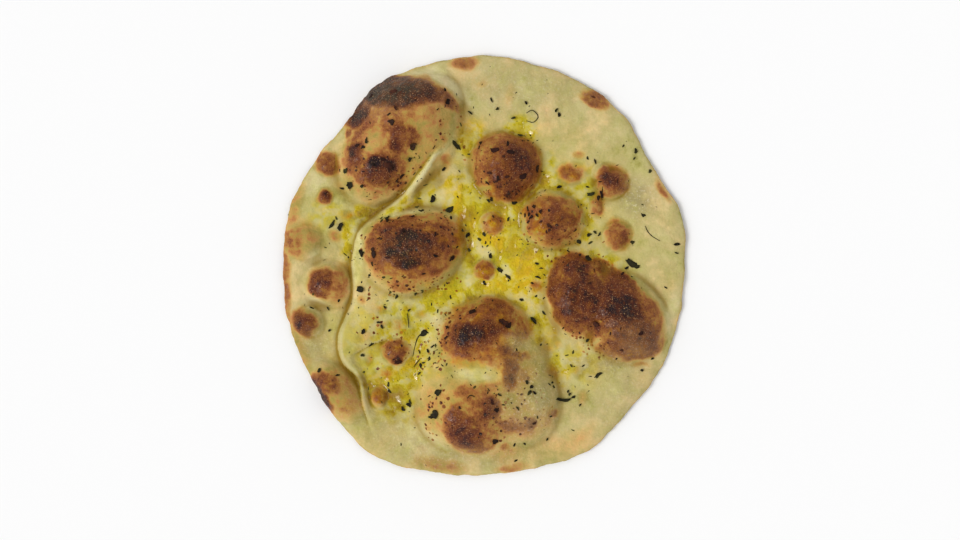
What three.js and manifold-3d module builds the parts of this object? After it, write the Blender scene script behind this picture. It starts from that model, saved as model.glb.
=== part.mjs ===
// A pizza bread: one round of thin dough, baked until it rose in browned blisters, with a fold that
// runs down its left side and dried herb leaves stuck to its top.
// Millimetres, +Z up. It lies flat on z = 0, with the middle of its outline at x = y = 0.
import * as THREE from 'three';
import { mergeVertices } from 'three/addons/utils/BufferGeometryUtils.js';
import Module from 'manifold-3d';

// ---- Driving dimensions, mm ------------------------------------------------------------------------

// How far the rim is from the middle, every 15 degrees round from +X.
const RIM_RADII = [
  134, 136, 130, 136, 138, 138, 140, 139, 140, 132, 133, 135,
  134, 136, 137, 142, 147, 143, 140, 140, 142, 137, 137, 135,
];
const DOUGH_THICKNESS = 5.6; // of the flat dough between the blisters
const DOUGH_WAVE = 0.7; // how far the flat dough rolls up and down
const RIM_HEIGHT = 2.2; // the middle of the rounded rim above the table
const RIM_TOP_ROUND = 9; // width of the round from the rim up on to the dough
const RIM_FOOT_ROUND = 7; // width of the round from the rim down on to the flat underside

// The blisters: the middle (x, y), half the length and half the width, the way the length points in
// degrees from +X, and the rise above the dough. Those that touch have grown into one.
const BLISTERS = [
  { name: 'north-west dome, whole', x: -56, y: 85, long: 50, wide: 33, turn: 48, rise: 15 },
  { name: 'north-west dome, outer lobe', x: -50, y: 99, long: 37, wide: 29, turn: 35, rise: 21 },
  { name: 'north-west dome, inner lobe', x: -70, y: 70, long: 31, wide: 27, turn: 60, rise: 18.5 },
  { name: 'west dome', x: -47, y: 10, long: 36, wide: 29, turn: 10, rise: 18 },
  { name: 'north dome', x: 14.5, y: 65, long: 24, wide: 23, turn: 90, rise: 15 },
  { name: 'middle dome', x: 45.5, y: 30, long: 22, wide: 19, turn: -8, rise: 12 },
  { name: 'east dome, inner lobe', x: 63, y: -20, long: 30, wide: 22, turn: 100, rise: 13 },
  { name: 'east dome, outer lobe', x: 94, y: -35, long: 33, wide: 27, turn: -45, rise: 15.5 },
  { name: 'south dome, whole', x: 0, y: -77, long: 54, wide: 46, turn: 96, rise: 14.5 },
  { name: 'south dome, inner lobe', x: 1, y: -49, long: 33, wide: 27, turn: 5, rise: 19 },
  { name: 'south dome, outer lobe', x: -12, y: -94, long: 33, wide: 33, turn: 0, rise: 19 },
  { name: 'south dome, side lobe', x: 28, y: -90, long: 31, wide: 22, turn: 85, rise: 13 },
  { name: 'rim blister, north-west', x: -104, y: 68, long: 9, wide: 7.5, turn: 80, rise: 3 },
  { name: 'rim blister, west', x: -120, y: 15, long: 12.5, wide: 11, turn: 20, rise: 6 },
  { name: 'rim blister, west by south', x: -103, y: -13, long: 17, wide: 15, turn: -20, rise: 8.5 },
  { name: 'rim blister, south of west', x: -117, y: -38, long: 11, wide: 9.5, turn: -30, rise: 6.5 },
  { name: 'rim blister, south-west', x: -98, y: -86, long: 26, wide: 15, turn: -55, rise: 9 },
  { name: 'small blister, north-east', x: 85, y: 54, long: 10.5, wide: 10, turn: 0, rise: 7 },
  { name: 'small blister, beside it', x: 78, y: 62, long: 7, wide: 6, turn: 0, rise: 4 },
  { name: 'small blister, east', x: 88, y: 19, long: 10, wide: 9, turn: 60, rise: 5.5 },
  { name: 'small blister, between those', x: 74, y: 38, long: 6, wide: 5, turn: 90, rise: 2.5 },
  { name: 'small blister, north-east inner', x: 58, y: 58, long: 7, wide: 6, turn: 0, rise: 2.5 },
  { name: 'small blister, centre', x: 5.5, y: 28, long: 8, wide: 7.5, turn: 0, rise: 4.5 },
  { name: 'small blister, under the centre', x: 1, y: -3, long: 8, wide: 7, turn: 0, rise: 3.5 },
  { name: 'small blister, south-west', x: -59, y: -58, long: 10, wide: 9.5, turn: 0, rise: 5 },
  { name: 'small blister, by the fold', x: -70, y: -88, long: 7, wide: 6, turn: 90, rise: 4 },
  { name: 'spot, under the big dome', x: -106, y: 44, long: 5, wide: 5, turn: 0, rise: 2.5 },
];
const BLISTER_FULLNESS = 2.5; // 2 is a paraboloid, more is a fuller dome with steeper sides
const BLISTER_WOBBLE = 0.03; // how far a blister's outline strays from an ellipse, as a share
const BLISTER_FOOT = 5; // how softly a large blister runs into the dough and into the next one
const MOAT_DEPTH = 1.3; // the dough sinks a little round each blister
const MOAT_WIDTH = 7;

// The fold: the points that its crest passes, how high the crest stands, and how far it reaches in
// towards the middle before it has sunk back to the dough. Outwards it drops like a step.
const FOLD = [
  { x: -23, y: 78, high: 0, reach: 6 },
  { x: -40, y: 60, high: 6, reach: 6 },
  { x: -51, y: 48, high: 7.5, reach: 6 },
  { x: -70, y: 37, high: 5.5, reach: 8 },
  { x: -82, y: 25, high: 5, reach: 16 },
  { x: -88, y: 3, high: 4.5, reach: 20 },
  { x: -88, y: -22, high: 4, reach: 20 },
  { x: -97, y: -46, high: 4.5, reach: 20 },
  { x: -96, y: -62, high: 5, reach: 13 },
  { x: -84, y: -79, high: 6, reach: 6 },
  { x: -80, y: -94, high: 4.5, reach: 6 },
  { x: -75, y: -110, high: 0, reach: 6 },
];
const FOLD_STEP = 3.5; // width of the step on the outer side

// Dried herb leaves that stand out: middle, length, width and the way the length points in degrees.
const LEAVES = [
  { x: 98, y: 1, long: 8, wide: 3.2, turn: -30 },
  { x: 7, y: 75, long: 6, wide: 3.4, turn: 10 },
  { x: 17, y: 74, long: 5.5, wide: 2.6, turn: -8 },
  { x: 25, y: 58, long: 5.5, wide: 4, turn: 25 },
  { x: 35, y: 64, long: 4.6, wide: 3, turn: 80 },
  { x: 78.5, y: 47, long: 6, wide: 1.8, turn: 88 },
  { x: 71, y: 47, long: 5.4, wide: 2.4, turn: 10 },
  { x: 69, y: 4, long: 5, wide: 4, turn: 60 },
  { x: -88, y: 53, long: 5.6, wide: 4.6, turn: 30 },
  { x: -63, y: 65, long: 8, wide: 4.2, turn: -15 },
  { x: -47, y: 78, long: 6, wide: 4, turn: 70 },
  { x: -60, y: 93, long: 4.4, wide: 3.4, turn: -50 },
  { x: -19, y: 80, long: 8, wide: 3, turn: -38 },
  { x: -34, y: 44, long: 4.8, wide: 3.2, turn: 70 },
  { x: -23, y: 36.5, long: 5.4, wide: 4, turn: 20 },
  { x: -101, y: 27, long: 6.5, wide: 2.2, turn: 60 },
  { x: -96, y: 25.5, long: 6, wide: 3, turn: 70 },
  { x: -81, y: 8, long: 6, wide: 2.8, turn: -65 },
  { x: -72, y: 7, long: 4.4, wide: 3.4, turn: 80 },
  { x: -82, y: -16, long: 5, wide: 4, turn: 50 },
  { x: -40, y: -45, long: 5.5, wide: 3.6, turn: 30 },
  { x: -44, y: -65, long: 8, wide: 1.6, turn: 42 },
  { x: -8, y: -31, long: 5, wide: 3.2, turn: 20 },
  { x: 13, y: -38, long: 6, wide: 3.4, turn: -25 },
  { x: -33, y: -98, long: 5.6, wide: 4, turn: 45 },
  { x: 7, y: -116, long: 4.6, wide: 3.6, turn: -30 },
  { x: 53, y: -90, long: 9, wide: 2.6, turn: -8 },
  { x: -57, y: -64, long: 4.6, wide: 3.6, turn: 0 },
  { x: 74, y: -39, long: 4.4, wide: 3.4, turn: -30 },
  { x: 76, y: -73, long: 6, wide: 2.4, turn: 35 },
];
const LEAF_THICKNESS = 1.3; // half of it sinks into the dough
const LEAF_SIDES = 6;

// The lesser leaves, drawn by a seeded rule that spreads them evenly.
const SPREAD = { draws: 64, reach: 0.88, long: [2.6, 4.2], wide: [1.6, 2.4], jitter: 6, seed: 7 };

// The grain of the surface's net: rings of triangles from the middle out to the rim.
const RINGS = 32;
const FOLD_DRAW = { share: 0.6, width: 6 }; // how far the net is drawn in towards the fold's crest
const RIM_BELTS = { top: [3, 0.8, 0], foot: [1, 3.5, RIM_FOOT_ROUND] }; // distances in from the rim

// ---- Small sums --------------------------------------------------------------------------------------

const radians = THREE.MathUtils.degToRad;

// The larger of two heights, with a soft valley of the given width where they meet.
function softMax(a, b, width) {
  const overlap = Math.max(width - Math.abs(a - b), 0);
  return Math.max(a, b) + (overlap * overlap) / (4 * width);
}

// A steady draw from 0 to 1 that is always the same for the same number.
function draw(number) {
  const value = Math.sin(number * 12.9898 + SPREAD.seed) * 43758.5453;
  return value - Math.floor(value);
}

// The rim's distance from the middle in any direction: a smooth curve through RIM_RADII.
function rimRadius(angle) {
  const count = RIM_RADII.length;
  const place = ((angle / (2 * Math.PI)) * count + count) % count;
  const at = (step) => RIM_RADII[(Math.floor(place) + step + count) % count];
  const part = place - Math.floor(place);
  const bend = 2 * at(-1) - 5 * at(0) + 4 * at(1) - at(2);
  const twist = 3 * (at(0) - at(1)) + at(2) - at(-1);
  return at(0) + 0.5 * part * (at(1) - at(-1) + part * (bend + part * twist));
}

// ---- The shape of the top ----------------------------------------------------------------------------

// The gentle roll of the flat dough.
function wave(x, y) {
  return DOUGH_WAVE * (Math.sin(x / 19 + 1.3) * Math.sin(y / 23 + 0.4) + 0.5 * Math.sin(x / 11 - y / 14));
}

// 0 at a blister's middle, 1 at its foot, more outside.
function blisterDistance(blister, x, y) {
  const turn = radians(blister.turn);
  const dx = x - blister.x;
  const dy = y - blister.y;
  const along = (dx * Math.cos(turn) + dy * Math.sin(turn)) / blister.long;
  const across = (dy * Math.cos(turn) - dx * Math.sin(turn)) / blister.wide;
  const around = Math.atan2(across, along);
  const wobble = Math.sin(2 * around + blister.x) + Math.sin(3 * around + blister.y);
  return Math.hypot(along, across) * (1 + BLISTER_WOBBLE * wobble);
}

// The blisters' rise above the dough at a point, with the moat round them.
function blisterRise(x, y) {
  let rise = 0;
  let moat = 0;
  for (const blister of BLISTERS) {
    const distance = blisterDistance(blister, x, y);
    const cap = blister.rise * (1 - distance ** BLISTER_FULLNESS);
    rise = softMax(rise, cap, Math.min(BLISTER_FOOT, blister.rise / 2.4));
    const beyond = ((distance - 1.1) * blister.wide) / MOAT_WIDTH;
    moat = Math.max(moat, Math.exp(-beyond * beyond) * Math.min(blister.rise / 12, 1));
  }
  return rise - MOAT_DEPTH * moat;
}

// The fold's crest as a curve, sampled once, with its height and reach at each sample.
const FOLD_SAMPLES = 200;
const foldCrest = new THREE.CatmullRomCurve3(FOLD.map((p) => new THREE.Vector3(p.x, p.y, 0)));
const foldSizes = new THREE.CatmullRomCurve3(FOLD.map((p) => new THREE.Vector3(p.high, p.reach, 0)));
const foldPath = Array.from({ length: FOLD_SAMPLES + 1 }, (_, i) => {
  const share = i / FOLD_SAMPLES;
  const sizes = foldSizes.getPoint(share);
  const high = Math.max(sizes.x, 0);
  return { at: foldCrest.getPoint(share), along: foldCrest.getTangent(share), high, reach: sizes.y };
});

// The nearest sample of the crest, how far away it is, and on which side: inwards is positive.
function nearestOnFold(x, y) {
  const gaps = foldPath.map((sample) => Math.hypot(x - sample.at.x, y - sample.at.y));
  const gap = Math.min(...gaps);
  const sample = foldPath[gaps.indexOf(gap)];
  const side = sample.along.x * (y - sample.at.y) - sample.along.y * (x - sample.at.x);
  return { sample, gap, side };
}

// The fold's height at a point: a step up from outside to the crest, then a slow fall inwards.
function foldRise(x, y) {
  const { sample, gap, side } = nearestOnFold(x, y);
  const width = side > 0 ? sample.reach : FOLD_STEP;
  return sample.high * Math.exp(-((gap / width) ** 2));
}

// A point of the net, drawn in towards the crest where it is near, so that the crest keeps its edge.
function drawnToFold(x, y) {
  const { sample, gap, side } = nearestOnFold(x, y);
  const strength = FOLD_DRAW.share * Math.min(sample.high / 3, 1);
  const shift = side * strength * Math.exp(-((gap / FOLD_DRAW.width) ** 2));
  return [x + sample.along.y * shift, y - sample.along.x * shift];
}

// The height of the top surface, without the round of the rim.
function doughHeight(x, y) {
  return DOUGH_THICKNESS + wave(x, y) + foldRise(x, y) + blisterRise(x, y);
}

// The height of the top surface. gap is the distance in from the rim.
function topHeight(x, y, gap) {
  const near = 1 - Math.min(gap / RIM_TOP_ROUND, 1);
  return RIM_HEIGHT + (doughHeight(x, y) - RIM_HEIGHT) * Math.sqrt(1 - near * near);
}

// The height of the underside: flat, but for the round up to the rim.
function footHeight(gap) {
  const near = 1 - Math.min(gap / RIM_FOOT_ROUND, 1);
  return RIM_HEIGHT * (1 - Math.sqrt(1 - near * near));
}

// ---- The net of triangles ----------------------------------------------------------------------------

// The points of one ring: count of them, as far from the middle as distanceOf says for the rim there.
function ringPoints(count, distanceOf, heightOf, place = (x, y) => [x, y]) {
  return Array.from({ length: count }, (_, i) => {
    const angle = (i / count) * 2 * Math.PI;
    const rim = rimRadius(angle);
    const distance = distanceOf(rim);
    const [x, y] = place(distance * Math.cos(angle), distance * Math.sin(angle));
    return [x, y, heightOf(x, y, rim - distance)];
  });
}

// Fills the band between two rings that share a middle. outer is the ring further along the surface.
function stitch(inner, outer, triangles) {
  let i = 0;
  let o = 0;
  while (i < inner.length || o < outer.length) {
    const stepOuter = o < outer.length && (o + 1) * inner.length <= (i + 1) * outer.length;
    if (stepOuter) {
      const next = outer.start + ((o + 1) % outer.length);
      triangles.push([inner.start + (i % inner.length), outer.start + o, next]);
      o += 1;
    } else {
      const next = inner.start + ((i + 1) % inner.length);
      triangles.push([inner.start + i, outer.start + (o % outer.length), next]);
      i += 1;
    }
  }
}

// The bare bread as one closed geometry: the top from the middle out, round the rim, and back to the
// middle underneath.
function breadGeometry() {
  const points = [];
  const triangles = [];
  const addRing = (ring) => {
    points.push(...ring);
    return { start: points.length - ring.length, length: ring.length };
  };
  const full = 6 * RINGS;
  const firstBelt = RIM_BELTS.top[0] * 2;
  let last = addRing([[0, 0, topHeight(0, 0, Infinity)]]);
  for (let k = 1; k <= RINGS; k += 1) {
    const distanceOf = (rim) => ((rim - firstBelt) * k) / RINGS;
    const ring = addRing(ringPoints(6 * k, distanceOf, topHeight, drawnToFold));
    stitch(last, ring, triangles);
    last = ring;
  }
  for (const gap of RIM_BELTS.top) {
    const ring = addRing(ringPoints(full, (rim) => rim - gap, topHeight));
    stitch(last, ring, triangles);
    last = ring;
  }
  for (const gap of RIM_BELTS.foot) {
    const ring = addRing(ringPoints(full, (rim) => rim - gap, (x, y, inwards) => footHeight(inwards)));
    stitch(last, ring, triangles);
    last = ring;
  }
  const middle = addRing([[0, 0, 0]]);
  for (let i = 0; i < full; i += 1) {
    triangles.push([last.start + i, middle.start, last.start + ((i + 1) % full)]);
  }
  const geometry = new THREE.BufferGeometry();
  geometry.setAttribute('position', new THREE.Float32BufferAttribute(points.flat(), 3));
  geometry.setIndex(triangles.flat());
  return geometry;
}

// ---- The herb leaves ---------------------------------------------------------------------------------

// The lesser leaves: a sunflower spread with a jitter, less those that would touch a larger leaf.
function spreadLeaves() {
  const goldenAngle = Math.PI * (3 - Math.sqrt(5));
  const leaves = [];
  for (let i = 0; i < SPREAD.draws; i += 1) {
    const angle = i * goldenAngle;
    const share = SPREAD.reach * Math.sqrt((i + 0.5) / SPREAD.draws);
    const distance = share * rimRadius(angle % (2 * Math.PI));
    leaves.push({
      x: distance * Math.cos(angle) + SPREAD.jitter * (draw(5 * i) - 0.5),
      y: distance * Math.sin(angle) + SPREAD.jitter * (draw(5 * i + 1) - 0.5),
      long: THREE.MathUtils.lerp(...SPREAD.long, draw(5 * i + 2)),
      wide: THREE.MathUtils.lerp(...SPREAD.wide, draw(5 * i + 3)),
      turn: 360 * draw(5 * i + 4),
    });
  }
  const isClear = (leaf, big) => Math.hypot(big.x - leaf.x, big.y - leaf.y) > big.long;
  return leaves.filter((leaf) => LEAVES.every((big) => isClear(leaf, big)));
}

// One leaf: a thin six-sided lens that lies on the dough and sinks half into it.
function leafGeometry(leaf) {
  const gap = rimRadius(Math.atan2(leaf.y, leaf.x)) - Math.hypot(leaf.x, leaf.y);
  const height = (x, y) => topHeight(x, y, gap);
  const slopeX = (height(leaf.x + 1, leaf.y) - height(leaf.x - 1, leaf.y)) / 2;
  const slopeY = (height(leaf.x, leaf.y + 1) - height(leaf.x, leaf.y - 1)) / 2;
  const up = new THREE.Vector3(-slopeX, -slopeY, 1).normalize();
  const turned = new THREE.Quaternion().setFromAxisAngle(new THREE.Vector3(0, 0, 1), radians(leaf.turn));
  const tilted = new THREE.Quaternion().setFromUnitVectors(new THREE.Vector3(0, 0, 1), up);
  const geometry = new THREE.SphereGeometry(1, LEAF_SIDES, 2);
  geometry.rotateX(Math.PI / 2);
  geometry.scale(leaf.long / 2, leaf.wide / 2, LEAF_THICKNESS / 2);
  geometry.applyQuaternion(tilted.multiply(turned));
  geometry.translate(leaf.x, leaf.y, height(leaf.x, leaf.y));
  return geometry;
}

// ---- Joining -----------------------------------------------------------------------------------------

const wasm = await Module();
wasm.setup();

// A three.js geometry as a manifold-3d solid.
function solidOf(geometry) {
  const bare = geometry.clone();
  bare.deleteAttribute('normal');
  bare.deleteAttribute('uv');
  const merged = mergeVertices(bare, 1e-4);
  return new wasm.Manifold(new wasm.Mesh({
    numProp: 3,
    vertProperties: new Float32Array(merged.attributes.position.array),
    triVerts: new Uint32Array(merged.index.array),
  }));
}

// A manifold-3d solid as a three.js geometry.
function geometryOf(solid) {
  const mesh = solid.getMesh();
  const geometry = new THREE.BufferGeometry();
  geometry.setAttribute('position', new THREE.BufferAttribute(mesh.vertProperties, 3));
  geometry.setIndex(new THREE.BufferAttribute(mesh.triVerts, 1));
  return geometry;
}

const leaves = [...LEAVES, ...spreadLeaves()].map((leaf) => solidOf(leafGeometry(leaf)));
const joined = leaves.reduce((solid, leaf) => solid.add(leaf), solidOf(breadGeometry()));
const breadShape = geometryOf(joined);

// The middle of the outline is the origin.
breadShape.computeBoundingBox();
const middle = breadShape.boundingBox.getCenter(new THREE.Vector3());
breadShape.translate(-middle.x, -middle.y, 0);
breadShape.computeVertexNormals();

// ---- The part ----------------------------------------------------------------------------------------

const bread = new THREE.Mesh(
  breadShape,
  new THREE.MeshStandardMaterial({ color: 0xc8bb89, roughness: 0.75, metalness: 0 }),
);
bread.name = 'bread';

const pizzaBread = new THREE.Group();
pizzaBread.add(bread);

export default pizzaBread;
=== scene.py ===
import math

import bmesh
import bpy
import numpy as np
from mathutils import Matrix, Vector
from mathutils.bvhtree import BVHTree


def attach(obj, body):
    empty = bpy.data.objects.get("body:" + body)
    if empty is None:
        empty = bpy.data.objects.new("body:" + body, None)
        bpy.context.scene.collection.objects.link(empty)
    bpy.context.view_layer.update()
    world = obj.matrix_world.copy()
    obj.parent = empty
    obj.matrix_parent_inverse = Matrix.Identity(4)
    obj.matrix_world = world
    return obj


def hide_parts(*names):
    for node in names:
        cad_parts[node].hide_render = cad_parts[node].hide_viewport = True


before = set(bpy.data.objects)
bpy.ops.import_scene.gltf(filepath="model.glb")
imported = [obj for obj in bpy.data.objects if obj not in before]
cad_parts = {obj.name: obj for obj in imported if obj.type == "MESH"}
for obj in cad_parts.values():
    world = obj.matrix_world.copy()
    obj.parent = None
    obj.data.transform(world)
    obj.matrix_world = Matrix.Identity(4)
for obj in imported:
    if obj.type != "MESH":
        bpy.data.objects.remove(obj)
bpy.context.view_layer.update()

MM = 0.001

# ---- The form of the bread, mm -------------------------------------------------------------------------

# How far the rim is from the middle, every 15 degrees round from +X.
RIM_RADII = np.array([
    134, 136, 130, 136, 138, 138, 140, 139, 140, 132, 133, 135,
    134, 136, 137, 142, 147, 143, 140, 140, 142, 137, 137, 135,
], dtype=float)
DOUGH_THICKNESS = 5.6
DOUGH_WAVE = 0.7
RIM_HEIGHT = 2.2
RIM_TOP_ROUND = 9
RIM_FOOT_ROUND = 7

# Each blister: x, y, half its length, half its width, the turn of its length in degrees, its rise.
BLISTERS = [
    (-56, 85, 50, 33, 48, 15),  # the north-west dome, whole
    (-50, 99, 37, 29, 35, 21),  # its outer lobe
    (-70, 70, 31, 27, 60, 18.5),  # its inner lobe
    (-47, 10, 36, 29, 10, 18),  # the west dome
    (14.5, 65, 24, 23, 90, 15),  # the north dome
    (45.5, 30, 22, 19, -8, 12),  # the middle dome
    (63, -20, 30, 22, 100, 13),  # the east dome, inner lobe
    (94, -35, 33, 27, -45, 15.5),  # its outer lobe
    (0, -77, 54, 46, 96, 14.5),  # the south dome, whole
    (1, -49, 33, 27, 5, 19),  # its inner lobe
    (-12, -94, 33, 33, 0, 19),  # its outer lobe
    (28, -90, 31, 22, 85, 13),  # its side lobe
    (-104, 68, 9, 7.5, 80, 3),  # small ones along the rim, from the north-west down
    (-120, 15, 12.5, 11, 20, 6),
    (-103, -13, 17, 15, -20, 8.5),
    (-117, -38, 11, 9.5, -30, 6.5),
    (-98, -86, 26, 15, -55, 9),
    (85, 54, 10.5, 10, 0, 7),  # small ones in the north-east
    (78, 62, 7, 6, 0, 4),
    (88, 19, 10, 9, 60, 5.5),
    (74, 38, 6, 5, 90, 2.5),
    (58, 58, 7, 6, 0, 2.5),
    (5.5, 28, 8, 7.5, 0, 4.5),  # small ones in the oil
    (1, -3, 8, 7, 0, 3.5),
    (-59, -58, 10, 9.5, 0, 5),  # small ones by the fold
    (-70, -88, 7, 6, 90, 4),
    (-106, 44, 5, 5, 0, 2.5),
]
BLISTER_FULLNESS = 2.5
BLISTER_WOBBLE = 0.03
BLISTER_FOOT = 3.5
MOAT_DEPTH = 0.7
MOAT_WIDTH = 7

# The fold, a round lip of dough that lies over a crease: the crease's x, y, how high the lip stands, how
# wide its round side is, how far behind that it falls away again, and how deep the crease is.
FOLD = np.array([
    (-27, 82, 0, 3, 2, 0), (-38, 68, 2.6, 3.2, 2.5, 0.5), (-46, 57, 3.4, 3.6, 3, 0.6),
    (-56, 45.5, 3.2, 3.4, 4, 0.6), (-70, 36, 2.8, 4, 8, 0.5), (-83, 24, 3.4, 5.5, 14, 0.6),
    (-88.5, 3, 3.6, 6, 24, 0.8), (-88, -21, 3.6, 6, 24, 0.8), (-97, -46, 3.6, 5.5, 22, 0.8),
    (-95.5, -63, 3.4, 4, 8, 0.6), (-85, -76, 3.4, 2.4, 2.6, 0.5), (-80.5, -94, 2.4, 2.4, 2.6, 0.3),
    (-74, -114, 0, 2.4, 3, 0),
], dtype=float)
FOLD_SAMPLES = 240
CREASE_AT = -1
CREASE_WIDTH = 1.5

# Where the flat dough sinks: x, y, half the length, half the width, turn, depth.
HOLLOWS = [
    (-74, -81, 15, 8, -32, 3.6), (-61, -92, 7, 13, 0, 2), (-44, -62, 7, 16, 0, 1.5),
    (-77, 32, 12, 4.5, 28, 2), (-12, 18, 6, 14, 0, 1.4), (24, 5, 14, 16, 0, 1), (38, 55, 6, 12, 0, 1.2),
    (24, 90, 7, 7, 0, 1), (40, -35, 6, 14, 15, 1.5), (50, -72, 6, 12, 15, 1.5), (-110, -26, 7, 6, 0, 1.2),
    (-112, -55, 10, 9, 0, 1.6), (-110, 3, 6, 8, 0, 1), (99, 44, 11, 11, 0, 1), (-95, 22, 7, 12, 0, 1),
]

# ---- Where the crust is browned, oily or floury, mm ----------------------------------------------------

PATCH_STRAY = 1.4  # how far the patches' outlines stray
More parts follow.
